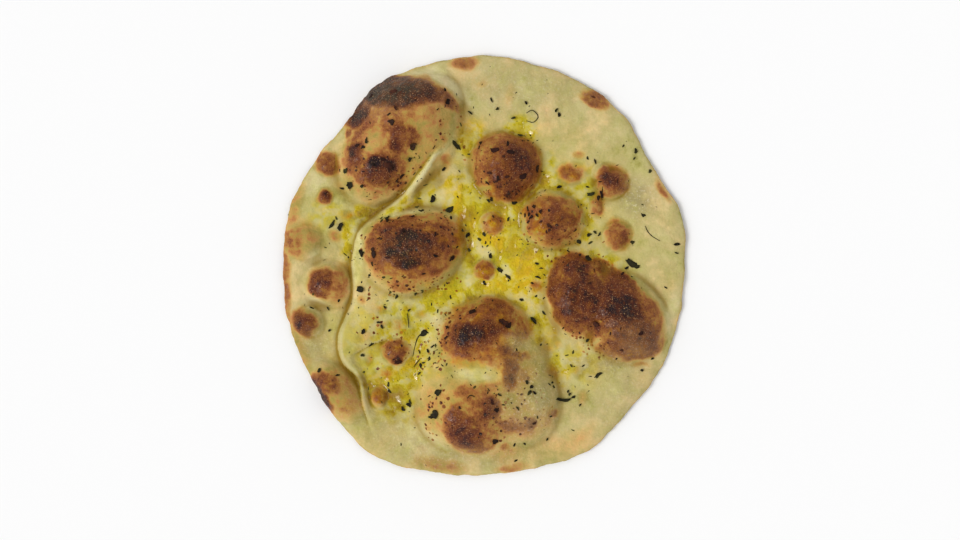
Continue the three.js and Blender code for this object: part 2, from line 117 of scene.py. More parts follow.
# Each patch: x, y, half its length, half its width, turn, how strong, how soft its edge is (1 is softest).
# Browning runs from 0, the palest dough, over 0.35 tan, 0.6 brown and 0.8 dark brown to 1, charred.
BROWNED = [
    # the north-west dome: a dark crescent along its outer side
    (-62, 112, 19, 7.5, 4, 0.9, 0.4), (-73, 111, 8, 9, 60, 0.9, 0.5), (-63, 119, 17, 7, 12, 0.82, 0.5),
    (-44, 115, 15, 8.5, -6, 0.83, 0.5), (-33, 112.5, 9, 6.5, -28, 0.66, 0.5), (-82, 97, 9, 6, 50, 0.8, 0.5), (-85, 101, 10, 7, 58, 0.8, 0.6),
    (-89, 88, 3, 5, 0, 0.5, 0.7), (-56, 107, 20, 6, 0, 0.8, 0.6), (-23, 107, 9, 4, -48, 0.5, 0.6),
    (-18, 104, 4, 3, -60, 0.4, 0.7), (-17, 98, 10, 22, 18, 0.2, 0.7),
    # its tan middle and the patches below it
    (-70, 72, 24, 23, 20, 0.42, 0.2), (-64, 94, 27, 13, 25, 0.4, 0.35), (-40, 98, 17, 12, 20, 0.3, 0.6),
    (-52, 86, 13, 9.5, -15, 0.57, 0.5), (-57, 79, 6, 8, 0, 0.66, 0.7), (-68, 61, 14, 11, -15, 0.6, 0.4),
    (-67, 65, 11, 9, 0, 0.72, 0.6), (-63, 65, 6, 5, 0, 0.92, 0.6), (-72, 67, 3.4, 5, 0, 0.9, 0.6),
    (-84, 71, 6, 11, 15, 0.56, 0.5), (-83, 77, 7, 5, 20, 0.78, 0.6), (-86, 74, 3, 4.5, -10, 0.92, 0.6),
    (-62, 55, 15, 6, 12, 0.42, 0.8), (-88, 54, 14, 7, 20, 0.24, 0.8), (-28, 84, 5, 4, 0, 0.34, 0.8),
    # the west dome
    (-47, 13, 33.5, 23.5, 6, 0.42, 0.16), (-53, -11, 12, 8, 0, 0.37, 0.5), (-18, 18, 7, 17, -8, 0.31, 0.5),
    (-47, 14, 27.5, 18, 6, 0.55, 0.3), (-49, 12, 21, 15.5, 0, 0.71, 0.45), (-51, 18, 10, 6, 15, 0.92, 0.6),
    (-49, 1.5, 12, 4.5, 12, 0.92, 0.6), (-54, 8, 13, 9, -20, 0.84, 0.7), (-61, 8, 4, 4, 0, 0.86, 0.7), (-31, 24, 8, 7, 0, 0.52, 0.8),
    # the north dome, the middle dome
    (15, 65, 24, 24, 0, 0.42, 0.13), (16.5, 65, 19.5, 20.5, 0, 0.56, 0.3), (20.5, 69, 10.5, 14, 10, 0.76, 0.6),
    (23, 72, 8, 9, 0, 0.84, 0.7), (15, 55, 9, 8, 0, 0.62, 0.7), (17, 47, 4, 5, 0, 0.68, 0.7),
    (45.5, 29, 21.5, 17.5, -8, 0.42, 0.25), (47, 28, 17, 14, -5, 0.5, 0.5), (52, 28, 11, 6, 0, 0.63, 0.7),
    # the east dome
    (60, -19, 28.5, 18.5, 100, 0.55, 0.12), (95, -37, 30, 22, -50, 0.55, 0.14), (84, -57, 10, 6, -20, 0.55, 0.5),
    (77, -23, 16, 17, -30, 0.58, 0.25), (61, -17, 25, 15, 100, 0.62, 0.25), (95, -35, 27, 18.5, -50, 0.6, 0.3),
    (80, -22, 18, 16, -25, 0.63, 0.3), (90, -10, 13, 6, -32, 0.64, 0.5), (78, -4, 14, 8, -25, 0.54, 0.3),
    (68, -9, 12, 5, -48, 0.82, 0.7), (70, -22, 8, 6, 0, 0.8, 0.7), (97, -28, 11, 11.5, -20, 0.82, 0.6),
    (82, -30, 11, 9, 0, 0.7, 0.8), (72, -43, 7, 7, 0, 0.57, 0.5), (58, -22, 9, 17, 8, 0.74, 0.8), (97, -60, 7, 4, 0, 0.64, 0.8),
    # the south dome's inner lobe
    (2, -41, 31, 18.5, -2, 0.44, 0.2), (-6, -45.5, 20, 12, 8, 0.62, 0.45), (-12, -46, 14, 10, 0, 0.75, 0.5),
    (-11, -45, 7.5, 6.5, -20, 0.92, 0.6), (10, -40, 9, 4.5, -10, 0.58, 0.7), (6, -26, 13, 5, 0, 0.42, 0.5),
    (-24, -52, 6, 8, 30, 0.5, 0.6), (-12, -57, 14, 5, 0, 0.46, 0.6), (-5, -60, 22, 6, 0, 0.38, 0.6),
    # the band down its right side and the outer lobe
    (17, -59, 11, 7, -20, 0.53, 0.5), (17, -71, 6, 13, 8, 0.56, 0.5), (27, -60, 4, 5, 0, 0.44, 0.7),
    (-8, -82, 18, 7, 0, 0.36, 0.6), (-8, -105, 20.5, 21.5, -10, 0.43, 0.18), (-11, -110, 14, 15, 0, 0.55, 0.4),
    (-19, -97, 6, 8, 0, 0.5, 0.6), (6, -94, 7, 10, 0, 0.57, 0.5), (-10, -113, 11, 10.5, 0, 0.68, 0.5),
    (4, -97, 7, 7, 0, 0.67, 0.7), (13, -108, 8, 8, 0, 0.36, 0.7), (30, -105, 6, 5, -20, 0.52, 0.6),
    (22, -107, 8, 5, 0, 0.38, 0.7), (46, -98, 4.5, 3.5, 0, 0.42, 0.7), (14, -120, 4, 3, 0, 0.4, 0.8),
    (-33, -100, 7, 7, 0, 0.28, 0.8), (-36, -107, 3, 3, 0, 0.36, 0.8), (34, -84, 12, 14, 0, 0.16, 0.8),
    (41, -73, 5, 6, 0, 0.3, 0.8),
    # the small blisters along the rim, from the north-west down
    (-103.5, 68, 8, 8.4, 80, 0.5, 0.5), (-106, 45.5, 5, 5.4, 0, 0.64, 0.6), (-106, 47.5, 3, 2.6, 0, 0.84, 0.8), (-126, 16, 8, 9, 0, 0.49, 0.8),
    (-120, 16, 14, 13, 0, 0.3, 0.6), (-107.5, -11, 9, 11.5, 0, 0.6, 0.4), (-110, -5, 4, 5, 0, 0.76, 0.9),
    (-96, -13, 9, 13, 0, 0.33, 0.5), (-119, -38, 9, 9.5, 0, 0.68, 0.5), (-123, -38, 4, 6, 0, 0.84, 0.8),
    (-107, -87, 12, 3.6, -57, 0.95, 0.6), (-104, -79, 11, 9, -20, 0.54, 0.5), (-94, -90, 12, 8, -60, 0.3, 0.6),
    (-96, -84, 20, 13, -57, 0.3, 0.4),
    # the toasted left rim
    (-127, 40, 6, 24, -8, 0.3, 0.9), (-133, -6, 3.5, 46, 2, 0.36, 0.9), (-126, 13, 7, 8, 0, 0.4, 0.8), (-123, -58, 5, 26, 22, 0.3, 0.9),
    (-116, 75, 5, 14, -38, 0.28, 0.9),
    # the small blisters by the fold and in the oil
    (-59.5, -57, 9.5, 8.5, 0, 0.5, 0.4), (-58, -64, 4, 3, 0, 0.84, 0.9), (-69, -88, 7, 6, 0, 0.42, 0.9),
    (5, 28, 9, 8.5, 0, 0.29, 0.3), (8, 30, 4, 4, 0, 0.44, 0.8), (0, -3.5, 8, 7, 0, 0.42, 0.3),
    (1, -3, 5, 4, 0, 0.5, 0.8),
    # the small blisters in the north-east
    (84, 55.3, 13, 12, 0, 0.4, 0.3), (83.5, 56.5, 8.5, 5, -10, 0.78, 0.7), (88, 55, 6, 7, 0, 0.6, 0.7), (78, 48, 4, 4, 0, 0.44, 0.7),
    (89, 21, 9.5, 10.5, 0, 0.41, 0.4), (90, 19, 6, 6.5, 0, 0.56, 0.7), (58, 60, 8, 7, 0, 0.42, 0.6),
    (75, 40, 5, 9, 0, 0.42, 0.6), (63, 74, 4, 3.5, 0, 0.3, 0.7),
    # flat patches by the rim
    (73, 111, 11, 5.5, -22, 0.48, 0.5), (-13, 135, 10, 4.5, 0, 0.36, 0.8), (-2, 121, 4, 3, 0, 0.2, 0.9),
    (18, 114, 5, 7, 0, 0.2, 0.9), (119, 50, 3, 9, 30, 0.32, 0.9), (-29, -133, 17, 5, -8, 0.36, 0.7),
    (18, -135, 12, 3.5, 6, 0.3, 0.9), (38, -124, 46, 13, 12, 0.14, 0.8), (15, -124, 15, 8, 6, 0.24, 0.9), (62, -114, 16, 7, 35, 0.16, 0.9), (35, -15, 5, 5, 0, 0.32, 0.8), (118, -20, 18, 60, 0, 0.11, 0.8),
    # faint marks on the flat dough
    (-58, -40, 6, 5, 0, 0.25, 0.9), (-80, -48, 5, 4, 0, 0.28, 0.9), (-66, -73, 9, 5, 0, 0.27, 0.9),
    (-41, -97, 5, 6, 0, 0.3, 0.9), (-100, 19, 4, 4, 0, 0.32, 0.8), (-81, -24, 3, 3, 0, 0.3, 0.9),
    (-78, -63, 2.5, 4, 0, 0.34, 0.9), (-26, 69, 4, 6, 0, 0.3, 0.9), (-89, 33, 6, 3, 0, 0.38, 0.9),
    (-68, -30, 3, 3, 0, 0.26, 0.9), (48, -52, 4, 3, 0, 0.25, 0.9), (67, -88, 4, 5, 0, 0.28, 0.9),
    (43, -54, 3, 4, 0, 0.3, 0.9), (46, -70, 4, 6, 30, 0.32, 0.9), (63, -71, 4, 5, 0, 0.3, 0.9),
    (105, -67, 6, 1.6, -8, 0.28, 0.9), (118, -78, 5, 12, -30, 0.2, 0.9), (-52, -28, 4, 3, 0, 0.32, 0.9),
    (-42, -33, 4, 3, 0, 0.34, 0.9), (-58, -40, 5, 5, 0, 0.3, 0.9), (-26, -23, 5, 4, 0, 0.32, 0.9),
    (-6, -23, 7, 3, 0, 0.28, 0.8), (-65, -73, 7, 5, 0, 0.32, 0.9), (-68, -41, 4, 2, 30, 0.3, 0.9),
]
BARE_DOUGH = 0.08
# The palest dough, also where it shows between browned patches, and a painted highlight along the fold's lip and
# ridge.
PALE_AND_LIT = [
    (-4, -72, 16, 5, 0, 0.9, 0.5), (-30, -74, 10, 12, 0, 0.45, 0.8), (-26, 123, 24, 4.5, -40, 1, 0.4),
    (-48, 130, 10, 3, -10, 1, 0.5), (-111, 54, 6, 6, 0, 0.6, 0.8), (-113, -27, 7, 5, 0, 1, 0.7),
    (-112, 4, 6, 9, 0, 0.8, 0.8), (124, -32, 4, 20, -22, 0.6, 0.6), (38, -86, 7, 18, 0, 0.6, 0.8), (-72, 80, 9, 8, 0, 0.4, 0.7),
    # painted highlight: the fold's lip here, and its upper ridge, last on the next line
    (-84.5, 5, 4, 27, 0, 1, 0.6), (-84, -34, 5, 16, 15, 0.6, 0.8), (-36, -50, 6, 22, -10, 0.5, 0.7),
    (-40, -22, 26, 4, 6, 0.4, 0.8), (-50, -108, 26, 12, -15, 0.2, 0.8), (-40, -117, 16, 9, -20, 0.8, 0.8), (-41, 62, 22, 2.6, 49, 1, 0.5),
    (-90, 40, 14, 8, 0, 0.3, 0.9), (10, 108, 26, 12, 0, 0.25, 0.9),
    (62, -60, 26, 12, -30, 0.35, 0.9), (112, -10, 8, 30, 0, 0.25, 0.9), (-55, 35.5, 16, 3, 8, 1, 0.6),
    (22, -51, 9, 5, -10, 0.4, 0.6),
]
# Where the dough stays dark with oil, with painted shade in the hollows and sheltered spots.
PAINTED_SHADE_AND_OIL = [
    (-77, -79, 10, 4, -32, 1, 0.7), (-60, -91, 8, 11, 5, 1, 0.7), (46, -42, 6, 9, 20, 0.8, 0.8), (-11.5, 17, 4, 18, 8, 1, 0.7),
    (-12, 34, 6, 6, 0, 0.7, 0.8), (-37, 55, 13, 4.5, 46, 0.95, 0.6), (-12, 85, 5, 10, 15, 0.85, 0.8), (-76, 36, 12, 4.5, 22, 0.65, 0.7),
    (-10, 88, 4, 10, 20, 0.6, 0.8), (-104, -30, 8, 5, 0, 0.3, 0.8), (-104, 12, 4, 8, 0, 0.35, 0.8),
    (39, -52, 4, 18, 12, 0.75, 0.7), (35, -42, 5, 8, 20, 0.7, 0.8), (46, -72, 4, 10, 20, 0.7, 0.7), (4, -19, 18, 3, 0, 0.45, 0.8),
    (-27, -29, 9, 4, -35, 0.4, 0.7), (42, 58, 3, 11, 10, 0.5, 0.7), (24, 91, 6, 4, 0, 0.5, 0.8),
    (32, 43, 8, 3, -40, 0.5, 0.7), (-50, -82, 8, 9, 0, 0.45, 0.9), (-31, 56, 6, 6, 0, 0.8, 0.8),
    (-57, -104, 12, 6, -20, 0.3, 0.9),    (-45, -51, 7, 8, 0, 0.4, 0.8), (74, 17, 4, 6, 0, 0.4, 0.8),
]
# Oil, from 0, dry, to 1, standing in the hollow.
OILY = [
    (-2, -33, 24, 10, 0, 0.75, 0.8), (14, 49, 20, 8, 0, 0.85, 0.8), (64, 28, 8, 14, 0, 0.7, 0.8),
    (66, 3, 22, 8, -10, 0.8, 0.8), (-18, 20, 9, 18, 0, 0.85, 0.8), (34, 52, 8, 9, 0, 0.9, 0.8),
    (-10, 44, 18, 16, 0, 0.75, 0.9), (14, 33, 24, 18, 0, 0.9, 0.8), (-12, 18, 9, 20, 0, 1, 0.8),
    (23, 3, 18, 22, 0, 0.9, 0.8), (8, 12, 16, 8, -40, 0.9, 0.9), (36, 20, 12, 8, -30, 0.7, 0.9), (-8, 33, 10, 8, 0, 1.1, 0.9), (4, -13, 20, 12, 0, 0.8, 0.8), (26, -24, 16, 14, 0, 0.72, 0.8),
    (-24, -21, 24, 13, 0, 0.8, 0.8), (-46, -27, 18, 9, 0, 0.5, 0.9), (-53, -44, 22, 16, 0, 0.5, 0.9),
    (-61, -84, 12, 18, 20, 0.8, 0.7), (-76, -81, 14, 6, -32, 0.9, 0.8), (-43, -62, 9, 20, 0, 0.66, 0.8), (-60, 36, 22, 5, 35, 0.66, 0.9),
    (-78, 35, 12, 6, 20, 0.7, 0.9), (24, 90, 9, 8, 0, 0.85, 0.9), (-9, 83, 9, 12, 0, 0.6, 0.9),
    (40, 56, 8, 16, 0, 0.7, 0.9), (36, 49, 18, 7, 0, 0.66, 0.9), (68, 2, 20, 6, 0, 0.6, 0.9),
    (41, -37, 9, 14, 0, 0.62, 0.9), (35, -43, 5, 9, 20, 0.8, 0.9), (48, -70, 9, 13, 0, 0.5, 0.9), (-90, 15, 6, 16, 0, 0.55, 0.9),
    (0, 0, 80, 75, 0, 0.32, 0.7), (-60, -60, 40, 50, 0, 0.3, 0.8), (-42, 50, 18, 14, 40, 0.5, 0.9),
    (62, 47, 14, 18, 0, 0.45, 0.9), (56, -66, 24, 18, 0, 0.3, 0.9), (-104, 34, 14, 12, 0, 0.3, 0.9),
]
# Pale lumps of dough that stand out of the oil.
CURDS = [
    (-2, 12, 4, 8, 0, 0.25, 0.6), (1, 9, 6, 5, 0, 0.7, 0.6), (15.5, -5, 3.6, 4.4, 0, 1, 0.5),
    (36, -1, 7, 5, 0, 0.3, 0.6), (18, 35, 2.2, 5, 0, 0.9, 0.6), (-5, 38, 3, 3, 0, 0.6, 0.8),
    (24, -20, 14, 4, 0, 0.5, 0.6), (30, -25, 11, 8, -20, 0.7, 0.7), (-13, -13, 8, 5, 30, 0.7, 0.7),
    (-27, -25, 6, 5, 0, 0.8, 0.6), (-50, -25, 14, 5, 0, 0.6, 0.7), (-25, 46, 9, 5, 10, 0.8, 0.7),
    (26, 27, 2, 5, 0, 0.8, 0.7), (-31, -36, 4, 4, 0, 0.9, 0.7), (-44, -36, 5, 6, 0, 0.6, 0.8),
    (-2, 50, 7, 3, 20, 0.5, 0.8), (-56, -76, 5, 3, 0, 0.4, 0.8),
]
# Flour that stayed on.
FLOURED = [
    (-60, -114, 32, 12, -20, 0.4, 0.8), (-88, -92, 9, 14, 20, 0.3, 0.8), (-12, 98, 8, 20, 18, 0.3, 0.7),
    (102, 44, 10, 12, 0, 1, 0.7), (-110, -54, 10, 9, 0, 0.7, 0.9), (-60, -105, 14, 8, 0, 0.6, 0.9),
    (31, -86, 19, 26, 0, 0.8, 0.8), (22, -51, 8, 6, 0, 1, 0.9), (78, -66, 18, 7, 0, 0.8, 0.9),
    (-60, 114, 26, 11, 20, 0.5, 0.9), (-53, 11, 15, 11, 0, 0.12, 0.9), (102, -52, 16, 13, -40, 0.4, 0.9),
    (20, 118, 50, 16, 0, 0.35, 0.9), (95, -85, 30, 26, 0, 0.3, 0.9), (-20, -128, 40, 8, 0, 0.5, 0.9),
]

# Small red-brown marks, where little bubbles of the dough scorched.
SPECKED = [
    (-32, -52, 9, 22, -20, 1, 0.6), (-62, 56, 22, 9, 10, 0.7, 0.7), (-47, -14, 30, 6, 8, 0.8, 0.7),
    (-58, -58, 14, 13, 0, 0.5, 0.7), (20, -96, 24, 14, 30, 0.6, 0.7), (-28, -98, 12, 14, 0, 0.6, 0.7),
    (70, -52, 22, 6, -30, 0.6, 0.7), (48, 22, 20, 14, 0, 0.3, 0.8), (-46, 20, 34, 10, 8, 0.5, 0.8),
    (6, 52, 16, 8, 0, 0.5, 0.8), (-24, 92, 10, 20, 0, 0.35, 0.8), (-84, 60, 10, 10, 0, 0.4, 0.8),
    (-75, -44, 9, 8, 0, 0.4, 0.8), (-66, -20, 12, 12, 0, 0.3, 0.8), (60, 8, 16, 8, 0, 0.3, 0.8),
]

# ---- The herbs, mm --------------------------------------------------------------------------------------

# Leaves that stand out: x, y, length, width, turn in degrees.
LEAVES = [
    (98, 1, 9, 4, -30), (101, -1, 5, 2.6, -10), (7, 75, 6, 3.4, 10), (17, 74, 5.5, 2.6, -8), (25, 58, 5.5, 4, 25),
    (35, 64, 4.6, 3, 80), (78.5, 47, 6, 1.8, 88), (71, 47, 5.4, 2.4, 10), (69, 4, 5, 4, 60),
    (-88, 53, 5.6, 4.6, 30), (-63, 65, 8, 4.2, -15), (-47, 78, 6, 4, 70), (-60, 93, 4.4, 3.4, -50),
    (-19, 80, 8, 3, -38), (-34, 44, 4.8, 3.2, 70), (-23, 36.5, 5.4, 4, 20), (-101, 27, 6.5, 2.2, 60),
    (-96, 25.5, 6, 3, 70), (-81, 8, 6, 2.8, -65), (-72, 7, 4.4, 3.4, 80), (-82, -16, 5, 4, 50),
    (-40, -45, 5.5, 3.6, 30), (-8, -31, 5, 3.2, 20), (13, -38, 6, 3.4, -25), (-32, -98, 6.2, 4.6, 45), (-30, -84, 5, 4.2, 70),
    (7, -116, 4.6, 3.6, -30), (53, -90, 9, 2.2, -8), (-57, -64, 4.6, 3.6, 0), (74, -39, 4.4, 3.4, -30),
    (76, -73, 6, 2.4, 35),
]
# Lesser leaves that can still be told apart: x, y, length.
SMALL_LEAVES = [
    (-94, 51, 3.4), (-91, 62, 4.4), (-73, 66, 4), (-54, 59, 3.4), (-80, 52, 2.4), (-59, 113, 4.6),
    (-74.5, 112, 3), (-77, 81, 4), (-83, 78, 3), (-79, 77, 2.6), (-49, 69.5, 3), (-66, 69, 3),
    (-62, 98, 2.4), (-57.6, 102, 3), (-24.5, 107, 4.4),
    (-26, 115, 2.4), (-9, 101.5, 3), (-27, 64, 3), (-22, 31, 2.6), (-53, 22.5, 2.8), (-32, 20, 3),
    (-32, 6, 3.4), (-73, 10, 3), (-80, 8, 3), (-63, 4.6, 3), (-45.6, -18.8, 2.6), (-39.6, -5.7, 2.4),
    (-75.7, -6.7, 2), (-64, 29.5, 3.6), (-22, 4, 2.6), (-104, -29, 2.4), (-103, -43.5, 2),
    (-80, -44, 3.2), (-75, -52.6, 3.4), (-81, -60, 2.4), (-109, -70, 3), (-97, -73, 2.8),
    (-63.6, -79.7, 3), (-54, -96, 3), (-49.5, -91, 2.6), (-35, -100, 3.4), (-16, -93, 2), (5, -90, 3.4),
    (8, -95, 3.4), (10, -85, 3), (22, -94, 2.4), (33, -104, 2.4), (16.5, -39.5, 4), (15, -40.5, 2.8),
    (-25, -48, 3), (-24, -41, 3.2), (-8, -31, 3), (11, -37, 3.2), (29.5, -84, 3), (31, -80, 2.6),
    (33, -37, 4.6), (40, -32, 3), (57, -86, 2.2), (59.6, -88, 2.8), (56, -84, 2), (52.6, -41.5, 2.2),
    (68.7, -50, 2.6), (88, -62, 2), (91.7, -6, 3), (92, -33.5, 3), (102.5, -45, 3), (69, -12, 3),
    (63, 16, 3), (70, 20, 3), (76, 45, 2.8), (69, 52, 2.2), (74, 69, 3), (68.7, 71, 2), (30, 33.5, 2.4),
    (37, 35, 2.6), (43, 25.5, 3.8), (41, 22, 2.2), (99, 15, 2.4), (98, 15.5, 2), (5, 44, 3), (15, 46, 2.6),
    (8, 55, 2.6), (20, 41.5, 3.2), (9.5, 56, 2.4), (-3, 78, 2.6), (19.5, 98, 2.4), (5, 110, 3),
    (9, 104, 2.2), (50, 100, 2.6), (48, 103, 3), (101, 76, 3.4), (100, 71, 2), (110.5, 62.5, 2.6), (50, 52, 3),
    (106, 33, 2.6), (95, -2, 2.4), (28, 108, 2.4), (4, 6, 3.2), (10.5, -3.3, 4), (16, -7.7, 4.2), (-18, 12, 2),
    (35, 1, 2.4), (0, -12, 3), (40, -22, 2), (-58, -21, 2), (-50, -30, 2), (-66, -28, 2.2), (128, 14, 4),
    (128, 8, 2.4), (112, -62, 2), (105, -70, 2), (121, -15, 2.2), (83, -45, 2.2), (91, -56, 2),
    (29, 37.7, 2.6), (33, 38.5, 3), (27.5, 32.7, 2.4), (31.7, 31.8, 2.4), (35, 32.7, 2.6), (37.5, 28.5, 2.2),
    (15.7, 79.6, 4), (9, 57, 3), (15, 57.8, 2.8), (24, 86.3, 3), (4, 60.3, 2.4), (2.3, 54.4, 2.4), (13, 71, 2),
    (-2, 81, 2.4), (71, 15, 3), (77, 20.5, 2.6), (74, 22, 2.2), (-11, 20, 3.6), (-10, 10, 2.2), (-21, 5, 3.4),
    (3, 43, 2.2), (6, 32, 2), (0, 20.5, 2.6), (25, -23, 2.6), (32, -12, 2), (38, -2, 2.2), (36, -8, 3),
    (58, -67, 2), (66, -67, 2), (64, -93, 2), (43, -79, 2.2), (45, -78, 2), (46, -81, 2), (28, -77, 2.6),
    (30, -83, 2.4), (33, -84, 2.6), (35, -100, 2), (44, -100, 2.2), (20, -119, 2.4), (27, -118.5, 2), (42, -116, 2),
    (-34, -54, 3), (-37, -57, 2.6), (-42, -67, 3), (-40, -65, 2.6), (-36, -62, 2.4), (-43, -72, 2.6),
    (-63, -84, 3), (-50, -93, 3), (-58, -21, 3), (-70, -38, 2.4), (-68, -41, 3), (-47, 32, 2.4), (-64, 31, 3),
]
# Thin stems: the points that each passes, on the crust.
STEMS = [
    [(-40, -44), (-44, -48), (-46, -54), (-47.5, -61)], [(-47, -68), (-43, -63), (-41, -62)],
    [(28, 101), (32, 103), (36, 99), (33, 95), (28, 96)], [(78.5, 52), (78.4, 47), (78.6, 43)],
    [(107, 26), (109, 22), (112, 19), (117, 16)], [(-51, -32), (-50.5, -36), (-50, -42)],
    [(60, -88), (53, -90), (47, -89)], [(-6, -86), (-9, -85), (-11, -87)],
]
STEM_RADIUS = 0.32


# ---- The height of the bread ---------------------------------------------------------------------------

def soft_max(a, b, width):
    """The larger of two heights, with a soft valley of the given width where they meet."""
    overlap = np.maximum(width - np.abs(a - b), 0)
    return np.maximum(a, b) + overlap * overlap / (4 * width)


def curve_through(points, u):
    """A smooth curve through the rows of points, at the places u, where row i is at u = i."""
    ends = 2 * points[0] - points[1], 2 * points[-1] - points[-2]
    padded = np.vstack([ends[0], points, ends[1]])
    first = np.clip(np.floor(u).astype(int), 0, len(points) - 2)
    part = (u - first)[:, None]
    a, b, c, d = (padded[first + step] for step in range(4))
    bend = 2 * a - 5 * b + 4 * c - d
    twist = 3 * (b - c) + d - a
    return b + 0.5 * part * (c - a + part * (bend + part * twist))


def rim_radius(angle):
    """The rim's distance from the middle in any direction."""
    count = len(RIM_RADII)
    place = (angle / math.tau * count) % count
    first = np.floor(place).astype(int)
    part = place - first
    a, b, c, d = (RIM_RADII[(first + step) % count] for step in (-1, 0, 1, 2))
    bend = 2 * a - 5 * b + 4 * c - d
    twist = 3 * (b - c) + d - a
    return b + 0.5 * part * (c - a + part * (bend + part * twist))


def turned(x, y, patch):
    """x and y in the directions of a patch's length and width, as shares of its half sizes."""
    middle_x, middle_y, half_length, half_width, turn = patch[:5]
    cos, sin = math.cos(math.radians(turn)), math.sin(math.radians(turn))
    dx, dy = x - middle_x, y - middle_y
    return (dx * cos + dy * sin) / half_length, (dy * cos - dx * sin) / half_width


def blister_distance(blister, x, y):
    """0 at a blister's middle, 1 at its foot, more outside."""
    along, across = turned(x, y, blister)
    around = np.arctan2(across, along)
    wobble = np.sin(2 * around + blister[0]) + np.sin(3 * around + blister[1])
    return np.hypot(along, across) * (1 + BLISTER_WOBBLE * wobble)


def blister_rise(x, y):
    """The blisters' rise above the dough, with the moat round them."""
    rise = np.zeros_like(x)
    moat = np.zeros_like(x)
    for blister in BLISTERS:
        half_width, full = blister[3], blister[5]
        distance = blister_distance(blister, x, y)
        cap = full * (1 - distance ** BLISTER_FULLNESS)
        rise = soft_max(rise, cap, min(BLISTER_FOOT, full / 2.4))
        beyond = (distance - 1.1) * half_width / MOAT_WIDTH
        moat = np.maximum(moat, np.exp(-beyond * beyond) * min(full / 12, 1))
    return rise - MOAT_DEPTH * moat


fold_path = curve_through(FOLD, np.linspace(0, len(FOLD) - 1, FOLD_SAMPLES + 1))
fold_along = np.gradient(fold_path[:, :2], axis=0)
fold_along /= np.linalg.norm(fold_along, axis=1)[:, None]


def fold_rise(x, y):
    """The fold's height: the crease, the round lip beside it, then a slow fall inwards."""
    least = np.full(x.shape, np.inf)
    nearest = np.zeros(x.shape, dtype=int)
    for number, (crease_x, crease_y) in enumerate(fold_path[:, :2]):
        gap = np.hypot(x - crease_x, y - crease_y)
        closer = gap < least
        least[closer] = gap[closer]
        nearest[closer] = number
    line, along = fold_path[nearest], fold_along[nearest]
    inwards = along[:, 0] * (y - line[:, 1]) - along[:, 1] * (x - line[:, 0])
    height, lip, fall, depth = line[:, 2:].T
    lifted = 1 - (1 - np.clip(inwards / lip, 0, 1)) ** 2.4
    behind = np.maximum(inwards - lip, 0) / fall
    crease_depth = depth * np.exp(-((inwards - CREASE_AT) / CREASE_WIDTH) ** 2)
    return np.maximum(height, 0) * lifted * np.exp(-behind ** 2) - np.where(least < 9, crease_depth, 0)


def dough_height(x, y):
    """The height of the top surface, without the round of the rim."""
    wave = np.sin(x / 19 + 1.3) * np.sin(y / 23 + 0.4) + 0.5 * np.sin(x / 11 - y / 14)
    sunk = np.zeros_like(x)
    for hollow in HOLLOWS:
        sunk = np.maximum(sunk, hollow[5] * np.exp(-np.hypot(*turned(x, y, hollow)) ** 2))
    return DOUGH_THICKNESS + DOUGH_WAVE * wave - sunk + fold_rise(x, y) + blister_rise(x, y)


def top_height(x, y, gap):
    """The height of the top surface. gap is the distance in from the rim."""
    near = 1 - np.minimum(gap / RIM_TOP_ROUND, 1)
    return RIM_HEIGHT + (dough_height(x, y) - RIM_HEIGHT) * np.sqrt(1 - near * near)


def foot_height(gap):
    """The height of the underside: flat, but for the round up to the rim."""
    near = 1 - np.minimum(gap / RIM_FOOT_ROUND, 1)
    return RIM_HEIGHT * (1 - np.sqrt(1 - near * near))


def crust_height(x, y):
    """The height of the top surface at points inside the rim."""
    x, y = np.atleast_1d(np.asarray(x, float)), np.atleast_1d(np.asarray(y, float))
    gap = rim_radius(np.arctan2(y, x)) - np.hypot(x, y)
    return top_height(x, y, np.maximum(gap, 0))


# The middle of the outline is the origin, as in the frame.
rim_angles = np.linspace(0, math.tau, 2880, endpoint=False)
rim_line = np.stack([np.cos(rim_angles), np.sin(rim_angles)]) * rim_radius(rim_angles)
centre = (rim_line.max(axis=1) + rim_line.min(axis=1)) / 2


def to_metres(points):
    """Points of the lists above, in the frame."""
    return (np.asarray(points, float) - [centre[0], centre[1], 0]) * MM


# ---- The crust's fields --------------------------------------------------------------------------------

def cloud(x, y, size, seed, octaves=3):
    """Soft seeded noise, about -1 to 1, whose broadest blobs are size across."""
    table = np.random.default_rng(seed).uniform(-1, 1, (64, 64))
    total, strength = np.zeros_like(x), 1.0
    for octave in range(octaves):
        u, v = x / size + 31.7 * octave, y / size + 12.3 * octave
        i, j = np.floor(u).astype(int), np.floor(v).astype(int)
        part_u, part_v = u - i, v - j
        part_u, part_v = part_u ** 2 * (3 - 2 * part_u), part_v ** 2 * (3 - 2 * part_v)
        lower = table[i % 64, j % 64] * (1 - part_u) + table[(i + 1) % 64, j % 64] * part_u
        upper = table[i % 64, (j + 1) % 64] * (1 - part_u) + table[(i + 1) % 64, (j + 1) % 64] * part_u
        total += strength * (lower * (1 - part_v) + upper * part_v)
        size, strength = size / 2, strength * 0.55
    return total


def strayed(x, y):
    """The places x and y shifted a little this way and that, so that patches have uneven outlines."""
    return x + PATCH_STRAY * cloud(x, y, 13, 1, 4), y + PATCH_STRAY * cloud(x, y, 13, 2, 4)


def patch_mask(x, y, patch):
    """1 inside a patch, 0 outside it, with its soft edge."""
    softness = patch[6]
    share = np.clip((1 + softness - np.hypot(*turned(x, y, patch))) / (2 * softness), 0, 1)
    return share * share * (3 - 2 * share)


def strongest(x, y, patches):
    """The patches together: where they overlap, a little more than the strongest of them."""
    x, y = strayed(x, y)
    total = np.zeros_like(x)
    for patch in patches:
        total += (patch[5] * patch_mask(x, y, patch)) ** 8
    return total ** 0.125


